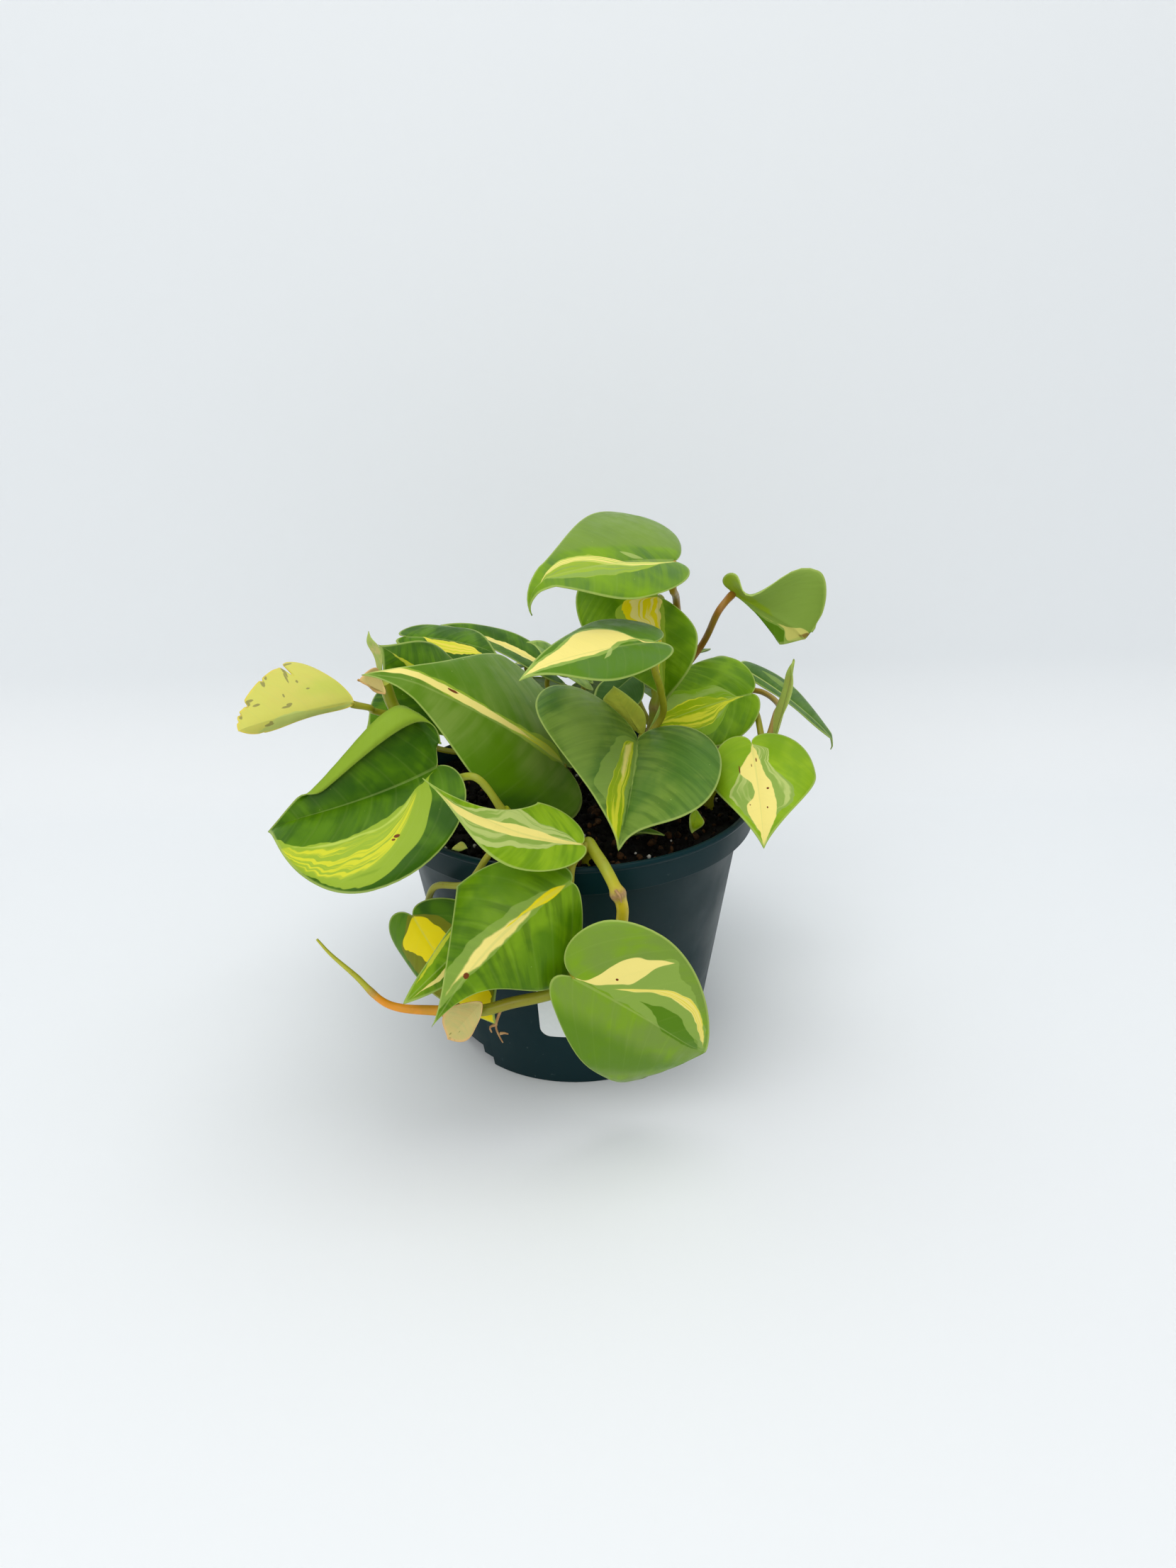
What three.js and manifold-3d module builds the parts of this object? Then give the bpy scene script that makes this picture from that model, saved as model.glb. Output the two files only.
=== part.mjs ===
// A potted brasil philodendron in its nursery pot.
// Millimetres, +Z up. The origin is the middle of the pot's underside, on the surface it stands on. -Y is the
// front.
import * as THREE from "three";
import { mergeVertices } from "three/addons/utils/BufferGeometryUtils.js";
import Module from "manifold-3d";

const wasm = await Module();
wasm.setup();

// Pot
const potHeight = 76;
const lipRadius = 52.5;
const bandHeight = 8;
const bandFootRadius = 51.6;
const shoulderRadius = 48;
const footRadius = 37.5;
const wall = 1.2;
const plateUnderside = 3.5;
const footRingWidth = 1.6;
const potSegments = 48;
const drainNotch = { count: 4, firstAngle: 35, width: 18, height: 3 };
const drainSlot = { width: 11, top: 5.8, reach: 3.4 };

// Label, a blank sticker on the wall
const label = { from: -15, to: 36, bottom: 18, top: 38.5, thickness: 0.35, corner: 3, columns: 12 };

// Soil
const soil = { edgeHeight: 71.5, crown: 2.5, crumb: 0.7, rings: 7, sectors: 36 };
const stemHoleFloor = 58;

// Plant
const clearance = 0.3;
const bladeThickness = 0.7;
const stemSides = 8;
const stalkSides = 6;
const stalkStep = 9;
const stemStep = 5;

const colours = {
  pot: 0x1e4a42,
  label: 0xf2f2ee,
  soil: 0x2b241d,
  stem: 0x8f9440,
  blade: 0x3f7a3a,
  youngBlade: 0xb9cf3a,
  yellowBlade: 0xd9c85a,
  sheath: 0xcaa27e,
};

// Vines. foot: where the stem stands in the soil. path: points of its axis above it. radius: of the stem.
// taper: the share of its length, at the far end, over which it runs out to a point.
const vines = {
  stem_front: {
    radius: 1.5,
    taper: 0.3,
    foot: [3, -41],
    path: [
      [3.5, -45, 79.5], [5, -50.5, 79.4], [7, -55, 78], [9.3, -57.5, 74], [11.2, -58, 68.6],
      [11.2, -58, 64.7], [9.8, -58, 56.7], [5, -58.5, 50], [-6, -59, 44.6], [-17, -60, 42.6],
      [-24, -60, 40.7], [-36, -60, 41],
      [-47.6, -60, 43.2], [-55.2, -60, 52.1], [-60.6, -60, 58.4], [-63.3, -60, 62.5],
    ],
  },
  stem_front_left: { radius: 1.9, foot: [-12, -37], path: [[-14, -38, 80], [-18, -39, 86]] },
  stem_left: {
    radius: 1.7,
    foot: [-34, -14],
    path: [[-37, -12, 84], [-43, -9, 95], [-48, -9, 104], [-49.5, -11.5, 112]],
  },
  stem_middle_left: { radius: 1.8, foot: [-8, -4], path: [[-8, -2, 82], [-10, 1, 88]] },
  stem_centre: { radius: 1.9, foot: [14, -8], path: [[15, -7, 81], [17, -4, 88]] },
  stem_tall: { radius: 1.9, foot: [22, 12], path: [[24, 15, 86], [26, 18, 98]] },
  stem_right: { radius: 1.9, foot: [38, -8], path: [[43, -7, 81], [51, -4, 85], [56, -2, 89]] },
  stem_far_right: { radius: 1.7, foot: [32, 26], path: [[36, 32, 81], [44, 36, 88]] },
  stem_back: { radius: 1.8, foot: [4, 30], path: [[4, 32, 82], [6, 36, 90]] },
  stem_back_left: { radius: 1.8, foot: [-26, 18], path: [[-28, 20, 82], [-30, 24, 90]] },
};

const leaves = {
  leaf_top: {
    base: [28, -4, 141], tip: [-9, -26, 133], left: [17.5, -24.5, 136.3], right: [16, 16, 150.3],
    vine: "stem_tall", node: 0.96, via: [[32, 24, 111], [31, 20, 124]], stalk: 1.2, curl: [30, 30],
    full: [0.35, 0.4], neck: [0.4, 0.35], point: 0.03, droop: 22, tipCurl: 115, hookFrom: 0.75, lobe: 0.16,
    columns: 3,
  },
  leaf_upper_middle: {
    base: [21, -28, 126], tip: [-12, -50, 124], left: [12, -46, 122.7], right: [9, -18, 129],
    vine: "stem_centre", node: 0.96, via: [[25, -3, 97], [24, -12, 108]], stalk: 1.1, curl: [30, 30],
    full: [0.5, 0.25], droop: 15, tipCurl: 20, lobe: 0.24,
  },
  leaf_upper_yellow: {
    base: [25, 10, 128], tip: [27, 4, 99], left: [35, 0, 119], right: [2, 10, 127], vine: "stem_tall",
    node: 0.85, via: [[24, 22, 113]], stalk: 1, droop: 30, tipCurl: 10, lobe: [0, 0.2],
  },
  leaf_right_high: {
    base: [45, 5, 130], tip: [64, -4, 119], left: [58, 2, 116], right: [65.5, -8, 138.6], vine: "stem_tall",
    node: 0.9, via: [[38, 20, 110]], stalk: 1.1, curl: [20, 20], full: [0.2, 0.6],
    flute: { side: 1, angle: -54, at: 0.14, reach: 0.32 }, droop: 15, tipCurl: 30, lobe: [-0.25, 0.48],
    neck: [0.26, -0.3], point: [0.06, 0.35], columns: 3,
  },
  leaf_right_heart: {
    base: [51, 4, 101], tip: [21, 4, 90], left: [43, -4, 89], right: [40, 18, 107.5], vine: "stem_right",
    node: 0.93, via: [[53, 2, 94]], stalk: 1, curl: [25, 25], droop: 25, tipCurl: 15, lobe: 0.15,
  },
  leaf_right_behind: {
    base: [54, 24, 96], tip: [35, 28, 88], left: [44, 22, 81], right: [45, 38, 102], vine: "stem_far_right",
    node: 0.96, stalk: 1, arrive: [0.3, -0.7, 0.6], curl: [25, 25], droop: 25, tipCurl: 15, lobe: 0.12,
  },
  leaf_right_long: {
    base: [55, 38, 97], tip: [83, 38, 70], left: [67, 46, 92], right: [64, 33, 90], vine: "stem_right",
    node: 0.97, via: [[59, 8, 93], [62, 20, 92], [59, 32, 92]], stalk: 1, droop: 20, tipCurl: 60,
    hookFrom: 0.85, lobe: 0.15,
  },
  leaf_right_low: {
    base: [49, -12, 92], tip: [49, -38, 73], left: [65, -22, 87], right: [37, -22, 85], vine: "stem_right",
    node: 0.95, stalk: 1, curl: [30, 30], full: [0.3, 0.2], droop: 35, tipCurl: 15, lobe: 0.25,
  },
  leaf_centre: {
    base: [18, -8, 92], tip: [11, -45, 77], left: [39, -26, 92], right: [-9, -20, 109], vine: "stem_centre",
    node: 0.85, stalk: 1.2, curl: [25, 25], droop: 30, tipCurl: 15, lobe: 0.25, full: [0.95, 0.5],
    neck: [0.45, 0.3], columns: 3,
  },
  leaf_left_big: {
    base: [-2, -14, 88], tip: [-51, -34, 121], left: [-16, -33, 82], right: [-18, 4, 113],
    vine: "stem_middle_left", node: 0.96, stalk: 1.3, curl: [10, 20], droop: 20, tipCurl: 40,
    lobe: [0.19, 0.3], lobeDrop: -50, full: [0.35, 0.2], neck: [0.45, 0.4], columns: 3,
  },
  leaf_left_arch: {
    base: [-34, -38, 98], tip: [-74, -52, 88], left: [-46, -72, 82], right: [-43, -36, 112],
    vine: "stem_front_left", node: 0.96, via: [[-24.5, -39, 95.5]], stalk: 1.1, curl: [20, 15],
    roll: { side: 1, turn: 162, from: 0.67, to: 0.8 }, full: [0.62, 0.28], droop: 30, tipCurl: 20, sway: -40,
    lobe: [0.22, 0.06], neck: [0.28, 0.3], point: [0.08, 0.06], columns: 8,
  },
  leaf_middle_low: {
    base: [1.8, -52.6, 82.8], tip: [-34, -64, 106], left: [-14, -70, 86], right: [-9, -48, 92],
    vine: "stem_front", node: 0.17, stalk: 1.1, curl: [20, 20], full: [0.4, -0.05], neck: [0.35, 0.5],
    point: 0.01, droop: -12, tipCurl: 0, sway: -36, lobe: 0.08,
  },
  leaf_front: {
    base: [-1, -58.4, 75.6], tip: [-36, -69, 42], left: [-3.3, -60.5, 49], right: [-29, -56, 74],
    vine: "stem_front", node: 0.17, stalk: 1.1, arrive: [-0.2, -0.5, -0.8], full: [0.5, 0], neck: [0.8, 0.6],
    point: 0.03, droop: 20, tipCurl: 20, lobe: [0.07, 0.1], sway: 42, columns: 3,
  },
  leaf_front_round: {
    base: [-1, -67, 54], tip: [32, -62, 28], left: [20, -68, 66], right: [7, -61, 19.2], vine: "stem_front",
    node: 0.45, stalk: 1.1, full: [0.33, 0.9], droop: 30, tipCurl: 15, sway: -30, lobe: [0.22, 0.34],
    neck: [0.26, -0.55], point: [0.16, 0.55], columns: 3,
  },
  leaf_left_low: {
    base: [-42, -44, 59], tip: [-21, -56, 33], left: [-22, -51, 61], right: [-46.8, -42, 46.6],
    vine: "stem_front_left", node: 0.6, via: [[-20, -49, 80], [-27, -49, 71], [-36, -43, 67]], stalk: 1,
    droop: 20, tipCurl: 15, lobe: 0.15,
  },
  leaf_left_tucked: {
    base: [-20, -55, 65], tip: [-43, -64, 46], left: [-28, -59, 51], right: [-30, -53, 62],
    vine: "stem_front_left", node: 0.75, via: [[-17, -52, 80]], stalk: 0.9, full: [0.3, 0.3], droop: 20,
    tipCurl: 15, lobe: 0.05,
  },
  leaf_far_left: {
    base: [-57, -18, 109], tip: [-83, -34, 107.3], left: [-69, -26, 107], right: [-74, -14, 119],
    vine: "stem_left", node: 0.8, via: [[-53, -14, 105]], stalk: 1, arrive: [-0.9, -0.3, 0.3],
    curl: [30, 30], full: [0.5, 0.05], point: [0.17, 0.25], droop: 20, tipCurl: 10, lobe: [0.05, 0.02],
    neck: [0.26, 0], colour: "yellowBlade",
  },
  leaf_back_heart: {
    base: [-49, 32, 112], tip: [-21, 26, 107], left: [-33, 38, 113], right: [-34, 22, 107],
    vine: "stem_back_left", node: 0.9, stalk: 0.9, droop: 25, tipCurl: 15,
  },
  leaf_left_inner: {
    base: [-29, 6, 96], tip: [-53, 4, 118], left: [-49, 2, 98], right: [-36, 16, 112],
    vine: "stem_middle_left", node: 0.9, stalk: 1, droop: 20, tipCurl: 15,
  },
  leaf_left_under: {
    base: [-42, 14, 101], tip: [-59, 8, 92], left: [-47, 2, 90], right: [-56, 18, 100],
    vine: "stem_back_left", node: 0.96, stalk: 0.8, droop: 20, tipCurl: 15,
  },
  leaf_back_cream: {
    base: [-6, 36, 99], tip: [-40, 44, 112], left: [-18, 30, 105], right: [-15, 46, 107], vine: "stem_back",
    node: 0.96, stalk: 0.9, droop: 20, tipCurl: 15,
  },
  leaf_back_grey: {
    base: [5, 26, 99], tip: [-13, 30, 110], left: [-3, 18, 104], right: [-4, 34, 107], vine: "stem_back",
    node: 0.85, stalk: 0.9, droop: 15, tipCurl: 15,
  },
  leaf_shaded: {
    base: [19, 21, 102], tip: [6, 8, 94], left: [19, 10, 96], right: [9, 17, 101], vine: "stem_tall",
    node: 0.7, stalk: 0.9, droop: 20, tipCurl: 15, lobe: 0.15,
  },
  leaf_young: {
    base: [20, 0, 91], tip: [12, 2, 105], left: [20, -2, 99], right: [9, 6, 99], vine: "stem_centre",
    node: 0.9, stalk: 0.8, curl: [-30, -30], full: [0.4, 0.4], droop: -15, tipCurl: 10, lobe: 0.02, rows: 8,
    colour: "youngBlade",
  },
  leaf_sprout: {
    base: [32, -30, 81], tip: [31, -32, 75], left: [34, -30, 77], right: [30, -32, 79], vine: "stem_right",
    node: 0.42, via: [[33, -24, 84]], stalk: 0.6, droop: 10, tipCurl: 10, lobe: 0.05, rows: 6,
  },
  sheath_peach: {
    base: [-49, -14.9, 110], tip: [-55, -18, 115], left: [-51, -16, 111], right: [-51, -12, 116],
    curl: [-60, -60], full: [0.5, 0.5], droop: -10, tipCurl: 0, lobe: 0.05, rows: 6, colour: "sheath",
  },
  sheath_slim: {
    base: [-49.6, -10.6, 113], tip: [-53, -8, 125], left: [-50, -11, 121], right: [-53, -8, 120],
    curl: [-60, -60], droop: 10, tipCurl: 0, lobe: 0.02, rows: 6, columns: 1, colour: "sheath",
  },
  sheath_right: {
    base: [57.3, -3.2, 89.5], tip: [63, 4, 111], left: [61, -2, 102], right: [59, 3, 100], curl: [-90, -90],
    droop: 10, tipCurl: 0, lobe: 0.02, rows: 8, columns: 1, colour: "sheath",
  },
  sheath_papery: {
    base: [-24, -63, 45], tip: [-33, -64, 35], left: [-27, -64, 36], right: [-33, -62, 42], curl: [30, -30],
    full: [0.7, 0.7], point: 0.1, droop: 20, tipCurl: 0, lobe: 0.05, rows: 8, colour: "sheath",
  },
  leaf_rear_low_right: {
    base: [28, 48, 88], tip: [42, 68, 64], width: 32, vine: "stem_far_right", node: 0.8, stalk: 1, droop: 35,
    tipCurl: 20, lobe: 0.25,
  },
  leaf_rear_low_middle: {
    base: [0, 52, 88], tip: [4, 72, 60], width: 36, vine: "stem_back", node: 0.9, stalk: 1, droop: 35,
    tipCurl: 20, lobe: 0.25,
  },
  leaf_rear_low_left: {
    base: [-30, 40, 94], tip: [-48, 64, 66], width: 34, vine: "stem_back_left", node: 0.8, stalk: 1,
    droop: 35, tipCurl: 20, lobe: 0.25,
  },
  leaf_rear_high_middle: {
    base: [12, 47, 98], tip: [8, 70, 85], width: 30, vine: "stem_back", node: 0.95, stalk: 1, droop: 35,
    tipCurl: 20, lobe: 0.25,
  },
  leaf_rear_high_left: {
    base: [-14, 49, 97], tip: [-26, 70, 84], width: 28, vine: "stem_back_left", node: 0.97, stalk: 1,
    droop: 35, tipCurl: 20, lobe: 0.25,
  },
  leaf_rear_high_right: {
    base: [28, 38, 103], tip: [36, 60, 92], width: 28, vine: "stem_tall", node: 0.75, stalk: 1, droop: 35,
    tipCurl: 20, lobe: 0.25,
  },
  leaf_rear_side_left: {
    base: [-46, 24, 87], tip: [-64, 36, 70], width: 30, vine: "stem_back_left", node: 0.6, stalk: 1,
    droop: 35, tipCurl: 20, lobe: 0.25,
  },
  leaf_rear_side_right: {
    base: [52, 40, 71], tip: [58, 48, 48], width: 26, vine: "stem_far_right", node: 0.88,
    via: [[45, 35, 80]], stalk: 1, droop: 35, tipCurl: 20, lobe: 0.25,
  },
};

// Turns a geometry, or a list of them, into one closed solid.
function solidOf(geometry) {
  const loose = geometry.index ? geometry.toNonIndexed() : geometry;
  const bare = new THREE.BufferGeometry().setAttribute("position", loose.getAttribute("position"));
  const merged = mergeVertices(bare, 1e-3);
  return new wasm.Manifold(
    new wasm.Mesh({
      numProp: 3,
      vertProperties: merged.getAttribute("position").array,
      triVerts: new Uint32Array(merged.index.array),
    }),
  );
}

function geometryOf(solid) {
  const mesh = solid.getMesh();
  return new THREE.BufferGeometry()
    .setAttribute("position", new THREE.BufferAttribute(mesh.vertProperties, 3))
    .setIndex(new THREE.BufferAttribute(mesh.triVerts, 1));
}

function namedMesh(name, geometry, colour, roughness) {
  const material = new THREE.MeshStandardMaterial({ color: colour, roughness, metalness: 0 });
  const mesh = new THREE.Mesh(geometry, material);
  mesh.name = name;
  return mesh;
}

const radians = THREE.MathUtils.degToRad;
const vector = (point) => new THREE.Vector3(...point);

// A round rod along a curve, with flat ends. radiusAt gives its radius at a share of its length.
function tube(curve, radiusAt, sides, step) {
  const steps = Math.max(3, Math.round(curve.getLength() / step));
  const frames = curve.computeFrenetFrames(steps, false);
  const points = [curve.getPointAt(0), curve.getPointAt(1)];
  const index = [];
  const at = (ring, corner) => 2 + ring * sides + (corner % sides);
  for (let i = 0; i <= steps; i++) {
    const middle = curve.getPointAt(i / steps);
    for (let j = 0; j < sides; j++) {
      const angle = (j / sides) * 2 * Math.PI;
      const out = frames.normals[i].clone().multiplyScalar(Math.cos(angle));
      out.addScaledVector(frames.binormals[i], Math.sin(angle));
      points.push(middle.clone().addScaledVector(out, radiusAt(i / steps)));
    }
  }
  for (let j = 0; j < sides; j++) {
    index.push(0, at(0, j + 1), at(0, j), 1, at(steps, j), at(steps, j + 1));
    for (let i = 0; i < steps; i++) {
      index.push(at(i, j), at(i, j + 1), at(i + 1, j + 1), at(i, j), at(i + 1, j + 1), at(i + 1, j));
    }
  }
  return new THREE.BufferGeometry().setFromPoints(points).setIndex(index);
}

// Cubic Bezier in the plane.
function bezier(t, a, b, c, d) {
  const u = 1 - t;
  return [0, 1].map((i) => u * u * u * a[i] + 3 * u * u * t * b[i] + 3 * u * t * t * c[i] + t * t * t * d[i]);
}

// Half outline of a blade of unit length, from the notch round the lobe to the tip, as s goes from 0 to 1.
const lobeShare = 0.4;
const midribAtWidest = 0.12;
const defaultLobe = 0.3;
function margin(s, half, lobe) {
  const { widest, width, full, neck, point } = half;
  const widestPoint = [widest, width];
  const ahead = 1 - widest;
  if (s < lobeShare) {
    return bezier(s / lobeShare, [0, 0], [-lobe, 0.05], [widest - 0.17 - lobe, width], widestPoint);
  }
  const along = (s - lobeShare) / (1 - lobeShare);
  return bezier(along, widestPoint, [widest + full * ahead, width], [1 - neck * ahead, point], [1, 0]);
}
function midribAt(s) {
  if (s < lobeShare) return (midribAtWidest * s) / lobeShare;
  return midribAtWidest + ((1 - midribAtWidest) * (s - lobeShare)) / (1 - lobeShare);
}

// Place and directions of the bent midrib at x, in the blade's own frame. Behind the base it is straight.
function midribFrame(leaf, x) {
  const steps = 12;
  const place = new THREE.Vector3();
  const pitchAt = (u) => {
    const hook = leaf.hookFrom ?? 0.75;
    const bend = Math.max(0, (u - hook) / (1 - hook));
    if (u < 0) return radians((leaf.lobeDrop ?? 10) * (-u / 0.2));
    return -radians(leaf.droop * u + leaf.tipCurl * bend);
  };
  const yawAt = (u) => radians((leaf.sway ?? 0) * Math.max(0, u));
  const tangentAt = (u) => {
    const [pitch, yaw] = [pitchAt(u), yawAt(u)];
    const level = Math.cos(pitch);
    return new THREE.Vector3(level * Math.cos(yaw), level * Math.sin(yaw), Math.sin(pitch));
  };
  for (let i = 0; i < steps; i++) place.addScaledVector(tangentAt(((i + 0.5) / steps) * x), x / steps);
  const tangent = tangentAt(x);
  const yaw = yawAt(x);
  const side = new THREE.Vector3(-Math.sin(yaw), Math.cos(yaw), 0);
  const normal = new THREE.Vector3().crossVectors(tangent, side);
  return { place, tangent, side, normal };
}

function basis(along, across) {
  const x = along.clone().normalize();
  const y = across.clone().addScaledVector(x, -across.dot(x)).normalize();
  return new THREE.Matrix4().makeBasis(x, y, new THREE.Vector3().crossVectors(x, y));
}

// Widest points of a blade that is given only by its base, tip and width: level, and folded up a little.
function spread(leaf) {
  const reach = vector(leaf.tip).sub(vector(leaf.base));
  const up = new THREE.Vector3(0, 0, 1);
  const across = new THREE.Vector3().crossVectors(up, reach).normalize();
  const normal = new THREE.Vector3().crossVectors(reach, across).normalize();
  const middle = vector(leaf.base).addScaledVector(reach, 0.22).addScaledVector(normal, 0.12 * leaf.width);
  return [0.5, -0.5].map((share) => middle.clone().addScaledVector(across, share * leaf.width));
}

// A half's section, of unit width: where a line ends that starts level, bends down by curl in all, and up by
// the roll's turn between two shares of the width.
function sweep(curl, share, roll) {
  const steps = roll ? 40 : 10;
  const end = new THREE.Vector2();
  for (let i = 0; i < steps; i++) {
    const u = ((i + 0.5) / steps) * share;
    const rolled = roll ? roll.turn * THREE.MathUtils.smoothstep(u, roll.from, roll.to) : 0;
    const angle = rolled - curl * u;
    end.add(new THREE.Vector2(Math.cos(angle), Math.sin(angle)).multiplyScalar(share / steps));
  }
  return end;
}

const noFlute = { angle: 0, at: 0, reach: 1 };
// Where the margin comes nearer to the midrib, in shares of the half's width, a roll opens out.
const rollFades = [0.15, 0.4];

// What follows from a blade's points: the matrix from its own frame, of unit length, to its place, and for
// each half where it is widest, its flat width there, and its fold and curl, so that its margin passes
// through its point.
function bladeShape(leaf) {
  const base = vector(leaf.base);
  const widestPoints = leaf.width ? spread(leaf) : [vector(leaf.left), vector(leaf.right)];
  const chord = midribFrame(leaf, 1).place;
  const reach = vector(leaf.tip).sub(base);
  const scale = reach.length() / chord.length();
  const own = basis(chord, new THREE.Vector3(0, 1, 0));
  const matrix = basis(reach, widestPoints[0].clone().sub(widestPoints[1])).multiply(own.transpose());
  matrix.scale(new THREE.Vector3(scale, scale, scale)).setPosition(base);
  const inverse = matrix.clone().invert();
  const halves = widestPoints.map((spot, side) => {
    const goal = spot.clone().applyMatrix4(inverse);
    let widest = goal.x;
    let frame = midribFrame(leaf, widest);
    for (let i = 0; i < 6; i++) {
      widest += goal.clone().sub(frame.place).dot(frame.tangent);
      frame = midribFrame(leaf, widest);
    }
    const offset = goal.sub(frame.place);
    const out = offset.dot(frame.side) * (side === 0 ? 1 : -1);
    const rise = offset.dot(frame.normal);
    const curl = radians(leaf.curl?.[side] ?? 20);
    const roll = leaf.roll?.side === side ? leaf.roll : undefined;
    const whole = sweep(curl, roll?.from ?? 1);
    const fold = Math.atan2(rise, out) - whole.angle();
    const width = Math.hypot(out, rise) / whole.length();
    const full = leaf.full?.[side] ?? 0.5;
    const neck = leaf.neck?.[side] ?? 0.26;
    const point = leaf.point?.[side] ?? leaf.point ?? 0.06;
    return { widest, width, fold, curl, roll, full, neck, point };
  });
  return { matrix, scale, halves };
}

// Point of the blade's middle surface: s along the margin, t from the midrib out, side 0 left or 1 right.
function bladePoint(leaf, shape, s, t, side) {
  const half = shape.halves[side];
  const [edgeX, edgeY] = margin(s, half, leaf.lobe?.[side] ?? leaf.lobe ?? defaultLobe);
  const x = midribAt(s) + (edgeX - midribAt(s)) * t;
  const across = edgeY * t;
  const flute = leaf.flute?.side === side ? leaf.flute : noFlute;
  const turn = half.fold + radians(flute.angle) * Math.exp(-(((x - flute.at) / flute.reach) ** 2));
  const edgeShare = edgeY / half.width;
  const roll = half.roll && {
    turn: radians(half.roll.turn) * THREE.MathUtils.smoothstep(edgeShare, ...rollFades),
    from: half.roll.from * edgeShare,
    to: half.roll.to * edgeShare,
  };
  const reach = sweep(half.curl, across / half.width, roll).rotateAround(new THREE.Vector2(), turn);
  const frame = midribFrame(leaf, x);
  return frame.place
    .addScaledVector(frame.side, (side === 0 ? 1 : -1) * half.width * reach.x)
    .addScaledVector(frame.normal, half.width * reach.y)
    .applyMatrix4(shape.matrix);
}

// A blade as a closed sheet of even thickness. Both faces are split into triangles alike.
function bladeGeometry(leaf) {
  const rows = leaf.rows ?? 12;
  const columns = leaf.columns ?? 2;
  const shape = bladeShape(leaf);
  const points = [];
  const add = (s, t, side) => points.push(bladePoint(leaf, shape, s, t, side)) - 1;
  const midrib = [];
  for (let i = 0; i <= rows; i++) midrib.push(add(i / rows, 0, 0));
  const grid = [0, 1].map((side) =>
    midrib.map((middle, i) => {
      const row = [middle];
      for (let j = 1; j <= columns; j++) {
        const atEnd = i === 0 || i === rows;
        row.push(atEnd ? middle : add(i / rows, j / columns, side));
      }
      return row;
    }),
  );
  const faces = [];
  const rim = [];
  grid.forEach((half, side) => {
    const face = (a, b, c) => {
      if (a !== b && b !== c && c !== a) faces.push(side === 0 ? [a, b, c] : [a, c, b]);
    };
    for (let i = 0; i < rows; i++) {
      for (let j = 0; j < columns; j++) {
        face(half[i][j], half[i + 1][j], half[i + 1][j + 1]);
        face(half[i][j], half[i + 1][j + 1], half[i][j + 1]);
      }
      const [near, far] = [half[i][columns], half[i + 1][columns]];
      rim.push(side === 0 ? [far, near] : [near, far]);
    }
  });
  return thicken(points, faces, rim);
}

// Gives a sheet its thickness: each point moves half of it along its normal to either side, and the rim is
// closed.
function thicken(points, faces, rim) {
  const normals = points.map(() => new THREE.Vector3());
  for (const [a, b, c] of faces) {
    const edge = points[b].clone().sub(points[a]);
    const normal = edge.cross(points[c].clone().sub(points[a]));
    for (const corner of [a, b, c]) normals[corner].add(normal);
  }
  const count = points.length;
  const shifted = [1, -1].flatMap((way) =>
    points.map((point, i) => {
      const normal = normals[i].normalize();
      return point.clone().addScaledVector(normal, (way * bladeThickness) / 2);
    }),
  );
  const index = [];
  for (const [a, b, c] of faces) index.push(a, b, c, a + count, c + count, b + count);
  for (const [a, b] of rim) index.push(a, a + count, b + count, a, b + count, b);
  return new THREE.BufferGeometry().setFromPoints(shifted).setIndex(index);
}

// A leaf stalk, from inside its stem to just under the blade's base.
function stalkGeometry(leaf, vine) {
  const directions = new THREE.Matrix4().extractRotation(bladeShape(leaf).matrix);
  const normal = new THREE.Vector3(0, 0, 1).applyMatrix4(directions);
  const forward = new THREE.Vector3(1, 0, 0).applyMatrix4(directions);
  const radius = leaf.stalk;
  const rise = new THREE.Vector3(0, 0, 0.3);
  const usual = normal.clone().multiplyScalar(0.75).addScaledVector(forward, 0.3).add(rise);
  const arrival = (leaf.arrive ? vector(leaf.arrive) : usual).normalize();
  const depth = bladeThickness / 2 + clearance + radius * Math.sin(arrival.angleTo(normal));
  const seat = vector(leaf.base).addScaledVector(normal, -depth);
  const from = vine.curve.getPointAt(leaf.node);
  const approach = seat.clone().addScaledVector(arrival, -Math.min(6, seat.distanceTo(from) / 3));
  const curve = new THREE.CatmullRomCurve3([from, ...(leaf.via ?? []).map(vector), approach, seat]);
  return tube(curve, () => radius, stalkSides, stalkStep);
}

function makeVines() {
  return Object.entries(vines).map(([name, vine]) => {
    const taper = vine.taper ?? 0;
    const radiusAt = (share) => vine.radius * (taper ? Math.min(1, 0.2 + (0.8 * (1 - share)) / taper) : 1);
    let body = solidOf(tube(vine.curve, radiusAt, stemSides, stemStep));
    for (const leaf of Object.values(leaves)) {
      if (leaf.vine === name) body = body.add(solidOf(stalkGeometry(leaf, vine)));
    }
    return namedMesh(name, geometryOf(body), colours.stem, 0.6);
  });
}

function makeLeaves() {
  return Object.entries(leaves).map(([name, leaf]) => {
    return namedMesh(name, bladeGeometry(leaf), colours[leaf.colour ?? "blade"], 0.4);
  });
}

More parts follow.
